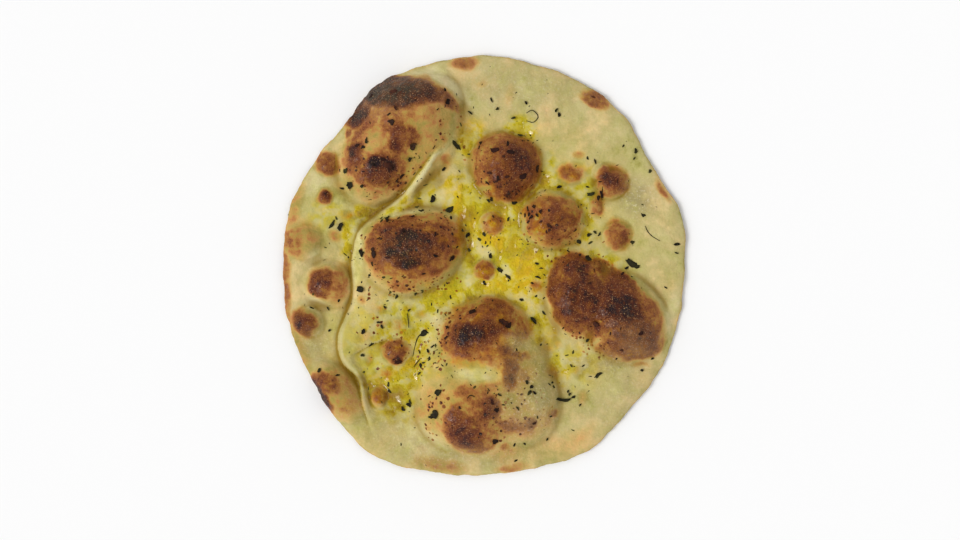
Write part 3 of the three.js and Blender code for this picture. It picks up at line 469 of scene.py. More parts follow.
def browning(x, y):
    """How far the crust is browned, from 0 to 1."""
    height = np.clip(blister_rise(x, y) / 9, 0, 1)
    baked = np.maximum(strongest(x, y, BROWNED), BARE_DOUGH + 0.2 * height)
    for patch in PALE_AND_LIT:
        baked = baked * (1 - patch[5] * patch_mask(*strayed(x, y), patch))
    baked = baked * (1 - 0.9 * strongest(x, y, CURDS))
    gap = rim_radius(np.arctan2(y, x)) - np.hypot(x, y)
    rim_toast = 0.2 * np.exp(-np.maximum(gap, 0) / 1.6)
    return np.clip(np.maximum(baked, rim_toast), 0, 1)


def crease(x, y, reach, depth):
    """Where a point lies between a sharp ridge, at -1, and a sharp crease, at 1."""
    ways = np.arange(8) / 8 * math.tau
    level = np.mean([crust_height(x + reach * math.cos(way), y + reach * math.sin(way)) for way in ways], axis=0)
    gap = rim_radius(np.arctan2(y, x)) - np.hypot(x, y)
    inner = np.clip((gap - 4) / reach, 0, 1)
    return np.clip((level - crust_height(x, y)) / depth, -1, 1) * inner


def stays_on(x, y):
    """How much of what is poured on a point stays there: less on a steep flank."""
    slope_x = crust_height(x + 1, y) - crust_height(x - 1, y)
    slope_y = crust_height(x, y + 1) - crust_height(x, y - 1)
    slope = np.hypot(slope_x, slope_y) / 2
    return np.clip(1.25 - slope, 0.3, 1)


def herb_cover(x, y):
    """How densely small herb flakes lie, from 0 to 1."""
    inner = np.clip(1.5 - np.hypot((x + 8) / 105, y / 108) * 1.25, 0, 1)
    foot = np.zeros_like(x)
    for blister in BLISTERS:
        if blister[5] > 9:
            beyond = (blister_distance(blister, x, y) - 0.98) * blister[3] / 3
            foot = np.maximum(foot, np.exp(-beyond * beyond))
    laid = inner * (0.35 + 0.4 * foot + 0.2 * strongest(x, y, OILY))
    return np.clip(laid * (0.5 + 1.1 * cloud(x, y, 14, 7)) + 0.04, 0, 1)


# ---- Meshes --------------------------------------------------------------------------------------------

def stitch(inner, outer, faces):
    """Fills the band between two rings that share a middle. A ring is its first vertex and its length."""
    first_in, count_in = inner
    first_out, count_out = outer
    i = 1 if count_in == 1 else 0
    o = 1 if count_out == 1 else 0
    while i < count_in or o < count_out:
        step_out = o < count_out and (count_in == 1 or (o + 1) * count_in <= (i + 1) * count_out)
        if step_out:
            faces.append((first_in + i % count_in, first_out + o, first_out + (o + 1) % count_out))
            o += 1
        else:
            faces.append((first_in + i, first_out + o % count_out, first_in + (i + 1) % count_in))
            i += 1


def ring_points(count, share, inset):
    """x, y and the distance in from the rim, round one ring at a share of the way out to the inset rim."""
    angle = np.arange(count) / count * math.tau
    rim = rim_radius(angle)
    distance = share * (rim - inset)
    return distance * np.cos(angle), distance * np.sin(angle), rim - distance


def new_mesh(name, points, faces):
    """A mesh object at the origin, with its points in the frame."""
    mesh = bpy.data.meshes.new(name)
    mesh.from_pydata(to_metres(points).tolist(), [], faces)
    mesh.polygons.foreach_set("use_smooth", [True] * len(mesh.polygons))
    piece = bpy.data.objects.new(name, mesh)
    bpy.context.scene.collection.objects.link(piece)
    return piece


def set_field(piece, name, values):
    """A number for every vertex, which materials and node trees read by its name."""
    piece.data.attributes.new(name, "FLOAT", "POINT").data.foreach_set("value", np.asarray(values, np.float32))


TOP_RINGS = 146
UNDER_RINGS = 70
TOP_BELT = 7.5
TOP_BELTS = (6.4, 5.3, 4.3, 3.4, 2.6, 1.9, 1.2, 0.6, 0.2, 0)
FOOT_BELTS = (0.2, 0.7, 1.5, 2.6, 4.2)


def bare_bread():
    """The bread's net: the top from the middle out, round the rim, and back to the middle underneath."""
    full = 6 * TOP_RINGS
    rings = [(1, 0, TOP_BELT, 1)]
    rings += [(6 * k, k / TOP_RINGS, TOP_BELT, 1) for k in range(1, TOP_RINGS + 1)]
    rings += [(full, 1, gap, 1) for gap in TOP_BELTS]
    rings += [(full, 1, gap, -1) for gap in FOOT_BELTS]
    rings += [(6 * k, k / UNDER_RINGS, RIM_FOOT_ROUND, -1) for k in range(UNDER_RINGS, 0, -1)]
    rings += [(1, 0, RIM_FOOT_ROUND, -1)]
    columns, faces, start, last = [], [], 0, None
    for count, share, inset, side in rings:
        x, y, gap = ring_points(count, share, inset)
        columns.append(np.stack([x, y, gap, np.full(count, float(side))]))
        if last:
            stitch(last, (start, count), faces)
        last = (start, count)
        start += count
    x, y, gap, side = np.hstack(columns)
    top = side > 0
    z = foot_height(gap)
    z[top] = top_height(x[top], y[top], gap[top])
    piece = new_mesh("bread_crust", np.stack([x, y, z], axis=1), faces)
    set_field(piece, "bake", np.where(top, browning(x, y), 0.2))
    oil = strongest(x, y, OILY) * (1 - 0.7 * strongest(x, y, CURDS)) * stays_on(x, y)
    set_field(piece, "oil", np.where(top, oil, 0))
    set_field(piece, "flour", np.where(top, strongest(x, y, FLOURED), 0.5))
    set_field(piece, "specks", np.where(top, strongest(x, y, SPECKED), 0))
    set_field(piece, "crease", np.where(top, crease(x, y, 2.4, 1), 0))
    # painted shade, with oil: wide creases and the listed sheltered spots are darkened
    oily_painted_shade = np.maximum(crease(x, y, 7, 3.2), strongest(x, y, PAINTED_SHADE_AND_OIL))
    set_field(piece, "oily_painted_shade", np.where(top, oily_painted_shade, 0))
    set_field(piece, "herbs", np.where(top, herb_cover(x, y), 0))
    set_field(piece, "under", np.where(top, 0.0, 1.0))
    return piece


# ---- Node trees ----------------------------------------------------------------------------------------

class Nodes:
    """Adds nodes to one tree. An input is a number, a colour, or another node's output."""

    def __init__(self, tree):
        self.tree = tree

    def add(self, kind, inputs=None, **settings):
        node = self.tree.nodes.new(kind)
        for name, value in settings.items():
            setattr(node, name, value)
        for key, value in (inputs or {}).items():
            if isinstance(value, bpy.types.NodeSocket):
                self.tree.links.new(value, node.inputs[key])
            else:
                node.inputs[key].default_value = value
        return node

    def math(self, operation, a, b=0.0, clamp=False):
        return self.add("ShaderNodeMath", {0: a, 1: b}, operation=operation, use_clamp=clamp).outputs[0]

    def span(self, value, low, high, to_low=0.0, to_high=1.0):
        """value mapped from low..high to to_low..to_high, with soft ends."""
        inputs = {0: value, 1: low, 2: high, 3: to_low, 4: to_high}
        return self.add("ShaderNodeMapRange", inputs, interpolation_type="SMOOTHSTEP").outputs[0]

    def noise(self, vector, scale, detail=3.0, roughness=0.55):
        inputs = {"Vector": vector, "Scale": scale, "Detail": detail, "Roughness": roughness}
        return self.add("ShaderNodeTexNoise", inputs).outputs[0]

    def mix(self, factor, a, b, blend="MIX"):
        node = self.add("ShaderNodeMix", data_type="RGBA", blend_type=blend)
        for key, value in ((0, factor), (6, a), (7, b)):
            if isinstance(value, bpy.types.NodeSocket):
                self.tree.links.new(value, node.inputs[key])
            else:
                node.inputs[key].default_value = value
        return node.outputs[2]

    def ramp(self, factor, stops):
        node = self.add("ShaderNodeValToRGB", {0: factor})
        elements = node.color_ramp.elements
        while len(elements) < len(stops):
            elements.new(0.5)
        for element, (place, colour) in zip(elements, stops):
            element.position = place
            element.color = colour
        return node.outputs[0]


def linear(red, green, blue):
    """A colour as the picture shows it, 0 to 255, as the linear colour that nodes take."""
    parts = [c / 255 for c in (red, green, blue)]
    return tuple(c / 12.92 if c <= 0.04045 else ((c + 0.055) / 1.055) ** 2.4 for c in parts) + (1.0,)


def new_group(name, kind, inputs, outputs):
    """A node group with named sockets. inputs are (name, socket type, value), outputs (name, type)."""
    group = bpy.data.node_groups.new(name, kind)
    for label, socket, value in inputs:
        made = group.interface.new_socket(label, in_out="INPUT", socket_type=socket)
        if value is not None:
            made.default_value = value
    for label, socket in outputs:
        group.interface.new_socket(label, in_out="OUTPUT", socket_type=socket)
    nodes = Nodes(group)
    return group, nodes, nodes.add("NodeGroupInput").outputs, nodes.add("NodeGroupOutput").inputs


FLOAT = "NodeSocketFloat"
COLOUR = "NodeSocketColor"
VECTOR = "NodeSocketVector"
GEOMETRY = "NodeSocketGeometry"
MATERIAL = "NodeSocketMaterial"

# The dough as it bakes, from bare to charred.
BAKING = [
    (0.0, linear(216, 206, 152)), (0.08, linear(192, 177, 119)), (0.16, linear(193, 169, 104)),
    (0.25, linear(192, 155, 88)), (0.34, linear(176, 122, 68)), (0.46, linear(146, 89, 45)),
    (0.58, linear(119, 64, 30)), (0.70, linear(94, 45, 24)), (0.80, linear(72, 33, 22)),
    (0.90, linear(50, 26, 23)), (1.0, linear(33, 22, 24)),
]
# What a layer of oil lets through, from none to a standing pool.
OIL_TINT = [(0.0, (1, 1, 1, 1)), (0.35, (1, 0.955, 0.5, 1)), (0.7, (1, 0.92, 0.05, 1)),
            (1.0, (0.95, 0.8, 0.01, 1))]


def crust_colour_group():
    """The colour, roughness, wetness and fine relief of baked dough, from how baked and oily it is."""
    group, n, given, out = new_group(
        "baked dough", "ShaderNodeTree",
        [("Bake", FLOAT, 0.0), ("Oil", FLOAT, 0.0), ("Flour", FLOAT, 0.0), ("Specks", FLOAT, 0.0),
         ("Crease", FLOAT, 0.0), ("Oily_Painted_Shade", FLOAT, 0.0), ("Hollow", FLOAT, 0.5)],
        [("Colour", COLOUR), ("Roughness", FLOAT), ("Wetness", FLOAT), ("Relief", FLOAT)],
    )
    place = n.add("ShaderNodeTexCoord").outputs["Object"]
    cloudy = n.noise(place, 52, 2, 0.5)
    broad = n.noise(place, 75, 4, 0.65)
    patchy = n.noise(place, 210, 4, 0.65)
    fine = n.noise(place, 620, 3, 0.7)
    grain = n.noise(place, 1150, 3, 0.7)

    # browning strays most where it has begun, so that its edges are ragged and bare dough stays clean
    begun = n.span(given["Bake"], 0.1, 0.6)
    stray = n.math("ADD", n.math("MULTIPLY", n.math("SUBTRACT", patchy, 0.5), 0.55),
                   n.math("MULTIPLY", n.math("SUBTRACT", fine, 0.5), 0.5))
    stray = n.math("ADD", stray, n.math("MULTIPLY", n.math("SUBTRACT", broad, 0.5), 0.5))
    bake = n.math("ADD", given["Bake"], n.math("MULTIPLY", stray, begun), clamp=True)
    mottle = n.math("ADD", n.math("MULTIPLY", n.math("SUBTRACT", broad, 0.5), 0.42),
                    n.math("MULTIPLY", n.math("SUBTRACT", patchy, 0.5), 0.3))
    mottle = n.math("MULTIPLY", mottle, n.span(bake, 0.08, 0.3, 0.4, 1))
    mottle = n.math("ADD", mottle, n.math("MULTIPLY", n.math("SUBTRACT", cloudy, 0.5), 0.35))
    bake = n.math("ADD", bake, mottle, clamp=True)

    # small scorched bubbles
    bubbles = n.add("ShaderNodeTexVoronoi", {"Vector": place, "Scale": 380.0})
    chance = n.add("ShaderNodeSeparateColor", {0: bubbles.outputs["Color"]})
    size = n.span(chance.outputs[1], 0, 1, 0.2, 0.46)
    edge = n.math("ADD", bubbles.outputs["Distance"], n.math("MULTIPLY", n.math("SUBTRACT", fine, 0.5), 0.9))
    inside = n.span(n.math("DIVIDE", edge, size), 0.7, 1.15, 1, 0)
    chosen = n.math("LESS_THAN", chance.outputs[0], n.math("MULTIPLY", given["Specks"], 0.75))
    scorched = n.math("MULTIPLY", n.math("MULTIPLY", inside, chosen), n.span(chance.outputs[2], 0, 1, 0.2, 0.6))
    bake = n.math("ADD", bake, scorched, clamp=True)
    browned = n.span(bake, 0.3, 0.6)
    colour = n.ramp(bake, BAKING)
    shade = 0.975
    for mask, on_bare, on_brown in ((cloudy, 1.1, 0.2), (broad, 1.1, 0.5), (patchy, 0.5, 1.1), (fine, 0.25, 0.7)):
        swing = n.math("MULTIPLY", n.math("SUBTRACT", mask, 0.5), n.span(bake, 0.1, 0.4, on_bare, on_brown))
        shade = n.math("ADD", shade, swing)
    shades = n.add("ShaderNodeCombineColor", {0: shade, 1: shade, 2: n.math("MULTIPLY", shade, shade)})
    colour = n.mix(1.0, colour, shades.outputs[0], "MULTIPLY")

    # pale grains of skin and flour on the brown, partly a painted speckled highlight; dark pits where bubbles burst
    pale_grains_and_glints = n.math("MULTIPLY", n.span(grain, 0.58, 0.66), n.span(bake, 0.35, 0.7, 0, 1))
    colour = n.mix(n.math("MULTIPLY", pale_grains_and_glints, 0.65), colour, linear(196, 150, 106))
    dark_grains = n.math("MULTIPLY", n.span(grain, 0.47, 0.34), browned)
    colour = n.mix(n.math("MULTIPLY", dark_grains, 0.55), colour, linear(46, 24, 14))
    cells = n.add("ShaderNodeTexVoronoi", {"Vector": place, "Scale": 430.0})
    near_middle = n.span(cells.outputs["Distance"], 0.14, 0.26, 1, 0)
    some = n.math("GREATER_THAN", n.add("ShaderNodeSeparateColor", {0: cells.outputs["Color"]}).outputs[0], 0.78)
    pits = n.math("MULTIPLY", n.math("MULTIPLY", near_middle, some), n.span(bake, 0.25, 0.5))
    colour = n.mix(n.math("MULTIPLY", pits, 0.6), colour, linear(52, 26, 16))

    # flour: a grey-white dust with brighter grains, thin where the crust is dark
    holds = n.math("MULTIPLY", given["Flour"], n.span(bake, 0.3, 0.9, 1, 0.3))
    dust = n.math("MULTIPLY", holds, n.span(patchy, 0.25, 0.6))
    colour = n.mix(n.math("MULTIPLY", dust, 0.8), colour, linear(152, 140, 98))
    grains = n.math("MULTIPLY", holds, n.span(fine, 0.54, 0.66))
    colour = n.mix(n.math("MULTIPLY", grains, 0.5), colour, linear(220, 212, 184))

    # creases hold oil and painted shade; ridges stay dry, and their pale dough gets a painted highlight
    deep = n.span(given["Crease"], 0.2, 1)
    dry_lit_ridge = n.span(given["Crease"], -0.35, -1)
    colour = n.mix(n.math("MULTIPLY", deep, 0.55), colour, linear(116, 92, 26))
    lit_pale_ridge = n.math("MULTIPLY", dry_lit_ridge, n.span(bake, 0.15, 0.5, 0.3, 0))
    colour = n.mix(lit_pale_ridge, colour, linear(220, 210, 158))
    # painted shade, with oil: creases and sheltered spots darkened towards ochre
    oily_painted_shade = n.span(given["Oily_Painted_Shade"], 0.15, 0.9)
    colour = n.mix(n.math("MULTIPLY", oily_painted_shade, 0.68), colour, linear(128, 94, 12))

    # oil soaks the dough yellow, most of all in its hollows
    pooled = n.math("MULTIPLY", n.math("SUBTRACT", given["Hollow"], 0.5), 0.7)
    oily = n.span(given["Oil"], 0.1, 0.6)
    uneven = pooled
    for mask, swing in ((broad, 1.1), (patchy, 1.1), (fine, 0.5)):
        uneven = n.math("ADD", uneven, n.math("MULTIPLY", n.math("SUBTRACT", mask, 0.5), swing))
    soaked = n.math("MULTIPLY", uneven, n.span(given["Oil"], 0.05, 0.4))
    soaked = n.math("MULTIPLY", soaked, n.span(given["Oil"], 0.6, 1, 1, 0.5))
    lumps = n.math("MULTIPLY", n.math("SUBTRACT", 1.0, given["Hollow"]), n.span(bake, 0.1, 0.4, 0.45, 0))
    lumps = n.math("MULTIPLY", lumps, n.span(given["Oil"], 0.6, 1, 1, 0.25))
    colour = n.mix(n.math("MULTIPLY", lumps, oily), colour, linear(208, 200, 122))
    oil = n.math("ADD", n.math("ADD", given["Oil"], soaked), n.math("MULTIPLY", deep, 0.3))
    oil = n.math("SUBTRACT", oil, n.math("MULTIPLY", dry_lit_ridge, 0.7), clamp=True)
    seen = n.math("MULTIPLY", oil, n.span(browned, 0, 1, 1, 0.55))
    colour = n.mix(1.0, colour, n.ramp(seen, OIL_TINT), "MULTIPLY")

    wet = n.math("MULTIPLY", n.span(oil, 0.5, 1), n.span(browned, 0, 1, 1, 0.3))
    sheen = n.math("MULTIPLY", browned, n.span(bake, 0.6, 1, 0.12, 0.06))
    wet = n.math("MAXIMUM", wet, sheen)
    dry_rough = n.span(browned, 0, 1, 0.8, 0.66)
    roughness = n.math("SUBTRACT", dry_rough, n.math("MULTIPLY", wet, 0.34))
    grainy = n.span(browned, 0, 1, 0.7, 1.0)
    relief = n.math("MULTIPLY", n.math("ADD", fine, n.math("MULTIPLY", grain, 0.5)), grainy)
    ripples = n.math("MULTIPLY", n.noise(place, 360, 2, 0.5), n.math("MULTIPLY", wet, 1.6))
    relief = n.math("ADD", relief, ripples)
    relief = n.math("SUBTRACT", relief, n.math("MULTIPLY", pits, 0.5))
    for label, socket in (("Colour", colour), ("Roughness", roughness), ("Wetness", wet), ("Relief", relief)):
        n.tree.links.new(socket, out[label])
    return group


crust_colours = crust_colour_group()


def new_material(name):
    """A material's nodes and its shader."""
    material = bpy.data.materials.new(name)
    material.use_nodes = True
    nodes = Nodes(material.node_tree)
    return material, nodes, material.node_tree.nodes["Principled BSDF"]


def crust_material():
    """The top and the rim."""
    material, n, shader = new_material("baked_crust")
    fields = {name: n.add("ShaderNodeAttribute", attribute_name=name.lower()).outputs["Fac"]
              for name in ("Bake", "Oil", "Flour", "Specks", "Crease", "Oily_Painted_Shade", "Hollow")}
    group = n.add("ShaderNodeGroup", node_tree=crust_colours)
    for name, socket in fields.items():
        n.tree.links.new(socket, group.inputs[name])
    bump = n.add("ShaderNodeBump", {"Height": group.outputs["Relief"], "Strength": 0.75, "Distance": 0.0009})
    n.tree.links.new(group.outputs["Colour"], shader.inputs["Base Color"])
    n.tree.links.new(group.outputs["Roughness"], shader.inputs["Roughness"])
    n.tree.links.new(group.outputs["Wetness"], shader.inputs["Coat Weight"])
    n.tree.links.new(bump.outputs["Normal"], shader.inputs["Normal"])
    shader.inputs["Specular IOR Level"].default_value = 0.12
    shader.inputs["Coat Roughness"].default_value = 0.12
    shader.inputs["Coat IOR"].default_value = 1.5
    shader.inputs["Subsurface Weight"].default_value = 0.05
    shader.inputs["Subsurface Radius"].default_value = (1.0, 0.6, 0.25)
    shader.inputs["Subsurface Scale"].default_value = 0.002
    return material


def underside_material():
    """The underside: pale and floury, with brown spots where it touched the hot stone."""
    material, n, shader = new_material("baked_underside")
    place = n.add("ShaderNodeTexCoord").outputs["Object"]
    spots = n.span(n.noise(place, 70, 3, 0.5), 0.5, 0.68, 0.08, 0.72)
    scorched = n.span(n.noise(place, 150, 3, 0.5), 0.6, 0.75, 0, 0.3)
    bake = n.math("ADD", spots, scorched, clamp=True)
    dusty = n.span(n.noise(place, 40, 2, 0.5), 0.4, 0.65, 0.2, 0.9)
    group = n.add("ShaderNodeGroup", node_tree=crust_colours)
    n.tree.links.new(bake, group.inputs["Bake"])
    n.tree.links.new(dusty, group.inputs["Flour"])
    bump = n.add("ShaderNodeBump", {"Height": group.outputs["Relief"], "Strength": 0.5, "Distance": 0.0006})
    n.tree.links.new(group.outputs["Colour"], shader.inputs["Base Color"])
    n.tree.links.new(group.outputs["Roughness"], shader.inputs["Roughness"])
    n.tree.links.new(bump.outputs["Normal"], shader.inputs["Normal"])
    return material


def herb_colour_group():
    """The colour and grain of dried herbs, from olive green to scorched."""
    group, n, given, out = new_group(
        "dried herb", "ShaderNodeTree", [("Tint", FLOAT, 0.5), ("Scorch", FLOAT, 0.0)],
        [("Colour", COLOUR), ("Relief", FLOAT)],
    )
    place = n.add("ShaderNodeTexCoord").outputs["Object"]
    veins = n.noise(place, 1400, 3, 0.6)
    tint = n.math("ADD", given["Tint"], n.math("MULTIPLY", n.math("SUBTRACT", veins, 0.5), 0.5), clamp=True)
    green = n.ramp(tint, [(0.0, linear(84, 82, 34)), (0.3, linear(56, 55, 24)), (0.6, linear(38, 36, 18)),
                          (1.0, linear(24, 18, 8))])
    brown = n.ramp(tint, [(0.0, linear(86, 44, 24)), (0.5, linear(52, 26, 20)), (1.0, linear(28, 17, 12))])
    colour = n.mix(n.span(given["Scorch"], 0.25, 0.5), green, brown)
    n.tree.links.new(colour, out["Colour"])
    n.tree.links.new(veins, out["Relief"])
    return group


herb_colours = herb_colour_group()


def herb_material(name, roughness):
    """Dried leaves, flakes or stems."""
    material, n, shader = new_material(name)
    group = n.add("ShaderNodeGroup", node_tree=herb_colours)
    for label, field in (("Tint", "tint"), ("Scorch", "bake")):
        n.tree.links.new(n.add("ShaderNodeAttribute", attribute_name=field).outputs["Fac"], group.inputs[label])
    bump = n.add("ShaderNodeBump", {"Height": group.outputs["Relief"], "Strength": 0.5, "Distance": 0.0003})
    n.tree.links.new(group.outputs["Colour"], shader.inputs["Base Color"])
    n.tree.links.new(bump.outputs["Normal"], shader.inputs["Normal"])
    shader.inputs["Roughness"].default_value = roughness
    shader.inputs["Specular IOR Level"].default_value = 0.12
    return material


crust = crust_material()
underside = underside_material()
leaf_skin = herb_material("dried_leaf", 0.6)
flake_skin = herb_material("dried_flake", 0.7)
stem_skin = herb_material("dried_stem", 0.6)


# ---- The crust's relief --------------------------------------------------------------------------------

def crust_relief_tree():
    """Lumps in the oily dough, small bubbles on the brown, grain and soft swells everywhere."""
    tree, n, given, out = new_group(
        "crust relief", "GeometryNodeTree",
        [("Geometry", GEOMETRY, None), ("Swell Size", FLOAT, 0.013), ("Swell Height", FLOAT, 0.0008),
         ("Lump Size", FLOAT, 0.004), ("Lump Height", FLOAT, 0.001),
         ("Bubble Size", FLOAT, 0.005), ("Bubble Height", FLOAT, 0.0006), ("Grain Size", FLOAT, 0.002),
         ("Grain Height", FLOAT, 0.0003), ("Top", MATERIAL, None), ("Underside", MATERIAL, None)],
        [("Geometry", GEOMETRY)],
    )

    def field(name):
        return n.add("GeometryNodeInputNamedAttribute", {"Name": name}, data_type="FLOAT").outputs[0]

    place = n.add("GeometryNodeInputPosition").outputs[0]
    oil, bake, under = field("oil"), field("bake"), field("under")
    lump = n.noise(place, n.math("DIVIDE", 1.0, given["Lump Size"]), 2, 0.5)
    hollow = n.span(lump, 0.4, 0.6, 1, 0)
    lumps = n.math("MULTIPLY", n.math("SUBTRACT", lump, 0.5), n.math("MULTIPLY", given["Lump Height"], 3.2))
    lumps = n.math("MULTIPLY", lumps, n.span(oil, 0.3, 1, 0.25, 1))
    cells = n.add("ShaderNodeTexVoronoi", {"Vector": place, "Smoothness": 0.4}, feature="SMOOTH_F1")
    n.tree.links.new(n.math("DIVIDE", 1.0, given["Bubble Size"]), cells.inputs["Scale"])
    bubble = n.span(cells.outputs["Distance"], 0.1, 0.7, 1, 0)
    bubbles = n.math("MULTIPLY", n.math("MULTIPLY", bubble, given["Bubble Height"]), n.span(bake, 0.25, 0.6))
    grain = n.noise(place, n.math("DIVIDE", 1.0, given["Grain Size"]), 3, 0.6)
    grains = n.math("MULTIPLY", n.math("SUBTRACT", grain, 0.5), n.math("MULTIPLY", given["Grain Height"], 3))
    swell = n.noise(place, n.math("DIVIDE", 1.0, given["Swell Size"]), 1, 0.5)
    swells = n.math("MULTIPLY", n.math("SUBTRACT", swell, 0.5), n.math("MULTIPLY", given["Swell Height"], 3))
    top_relief = n.math("ADD", n.math("ADD", n.math("ADD", lumps, bubbles), grains), swells)
    under_relief = n.math("MULTIPLY", n.math("ABSOLUTE", top_relief), -0.8)
    relief = n.add("GeometryNodeSwitch", {0: under, 1: top_relief, 2: under_relief}, input_type="FLOAT").outputs[0]
    normal = n.add("GeometryNodeInputNormal").outputs[0]
    offset = n.add("ShaderNodeVectorMath", {0: normal, "Scale": relief}, operation="SCALE").outputs[0]
    moved = n.add("GeometryNodeSetPosition", {"Geometry": given["Geometry"], "Offset": offset}).outputs[0]
    stored = n.add("GeometryNodeStoreNamedAttribute", {"Geometry": moved, "Name": "hollow", "Value": hollow},
                   data_type="FLOAT", domain="POINT").outputs[0]
    whole = n.add("GeometryNodeRealizeInstances", {0: stored}).outputs[0]
    topped = n.add("GeometryNodeSetMaterial", {"Geometry": whole, "Material": given["Top"]}).outputs[0]
    is_under = n.math("GREATER_THAN", under, 0.5)
    both = n.add("GeometryNodeSetMaterial",
                 {"Geometry": topped, "Selection": is_under, "Material": given["Underside"]}).outputs[0]
    n.tree.links.new(both, out["Geometry"])
    return tree


def grow(piece, tree, values):
    """Runs a geometry tree on a piece with the named values and keeps the result as its plain mesh."""
    modifier = piece.modifiers.new(tree.name, "NODES")
    modifier.node_group = tree
    for item in tree.interface.items_tree:
        if item.item_type == "SOCKET" and item.in_out == "INPUT" and item.name in values:
            modifier[item.identifier] = values[item.name]
    bpy.context.view_layer.update()
    evaluated = piece.evaluated_get(bpy.context.evaluated_depsgraph_get())
    mesh = bpy.data.meshes.new_from_object(evaluated)
    piece.modifiers.clear()
    old = piece.data
    piece.data = mesh
    mesh.name = piece.name
    bpy.data.meshes.remove(old)
    return piece


bread = grow(bare_bread(), crust_relief_tree(), {
    "Swell Size": 0.012, "Swell Height": 0.001, "Lump Size": 0.0068, "Lump Height": 0.0009, "Bubble Size": 0.0048, "Bubble Height": 0.0005,
    "Grain Size": 0.0022, "Grain Height": 0.00028, "Top": crust, "Underside": underside,
})


# ---- The herbs -----------------------------------------------------------------------------------------

def surface_frame(x, y):
    """The point on the crust and the three directions there: along x, along y, and out."""
    step = 1.0
    here, east, west, north, south = crust_height([x, x + step, x - step, x, x],
                                                  [y, y, y, y + step, y - step])
    along_x = np.array([1, 0, (east - west) / (2 * step)])
    along_x /= np.linalg.norm(along_x)
    outwards = np.cross(along_x, [0, 1, (north - south) / (2 * step)])
    outwards /= np.linalg.norm(outwards)
    return np.array([x, y, here]), along_x, np.cross(outwards, along_x), outwards


LEAF_POINTS = 13
LEAF_THICKNESS = 0.3
crust_tree = BVHTree.FromObject(bread, bpy.context.evaluated_depsgraph_get())


def clear_of_crust(points):
    """A leaf's points, lifted where the crust would cover them: its upper half of points by its thickness."""
    for number, point in enumerate(points):
        above = Vector(to_metres([point[0], point[1], 99]))
        hit = crust_tree.ray_cast(above, Vector((0, 0, -1)))[0]
        thickness = LEAF_THICKNESS if number < len(points) / 2 else 0
        point[2] = max(point[2], hit.z / MM + thickness)
    return points


def leaf_points(random, length, width, turn):
    """One leaf's points round the origin: two torn, curled outlines and a middle on each side."""
    around = (np.arange(LEAF_POINTS) + random.uniform(-0.35, 0.35, LEAF_POINTS)) / LEAF_POINTS * math.tau
    torn = random.uniform(0.68, 1.12, LEAF_POINTS)
    x = length / 2 * np.cos(around) * torn
    y = width / 2 * np.sin(around) * torn
    curl, crook = random.uniform(0.0, 0.22), random.uniform(-0.3, 0.3)
    ring = np.stack([x, y + crook * width * (x / length * 2) ** 2, np.zeros(LEAF_POINTS)], axis=1)
    inner = ring * [0.5, 0.5, 1]
    upper = np.vstack([ring, inner, np.zeros((1, 3))])
    upper[:, 2] = width * (0.45 * curl * (upper[:, 0] / length * 2) ** 2 + curl * np.abs(upper[:, 1] / width * 2))
    upper[:LEAF_POINTS, 2] += 0.22 * random.random(LEAF_POINTS) * min(width, 2.5)
    points = np.vstack([upper + [0, 0, LEAF_THICKNESS], upper])
    cos, sin = math.cos(turn), math.sin(turn)
    return points @ np.array([[cos, sin, 0], [-sin, cos, 0], [0, 0, 1]])


def leaf_faces(start):
    """The faces of one leaf: the top, the underside and the thin edge."""
    count = LEAF_POINTS
    under = start + 2 * count + 1
    faces = []
    for i in range(count):
        j = (i + 1) % count
        for base, flip in ((start, False), (under, True)):
            band = [base + i, base + j, base + count + j, base + count + i]
            tip = [base + count + i, base + count + j, base + 2 * count]
            faces += [band[::-1], tip[::-1]] if flip else [band, tip]
        faces.append([start + j, start + i, under + i, under + j])
    return faces


def herb_leaves():
    """The leaves that stand out, each a ragged curled flake that lies on the crust."""
    random = np.random.default_rng(11)
    chosen = [(x, y, 1.15 * length, 1.15 * width, math.radians(turn)) for x, y, length, width, turn in LEAVES]
    chosen += [(x, y, length * 1.3, length * random.uniform(0.45, 0.95), random.uniform(0, math.tau))
               for x, y, length in SMALL_LEAVES]
    points, faces, tints, scorches = [], [], [], []
    for x, y, length, width, turn in chosen:
        at, along_x, along_y, outwards = surface_frame(x, y)
        local = leaf_points(random, length, width, turn)
        faces += leaf_faces(sum(len(part) for part in points))
        points.append(clear_of_crust(at + local @ np.stack([along_x, along_y, outwards])))
        tints += list(random.uniform(0.35, 0.95) + random.uniform(-0.25, 0.25, len(local)))
        scorches += [browning(np.array([float(x)]), np.array([float(y)]))[0]] * len(local)
    piece = new_mesh("herb_leaves", np.vstack(points), faces)
    set_field(piece, "tint", tints)
    set_field(piece, "bake", scorches)
    piece.data.materials.append(leaf_skin)
    return piece


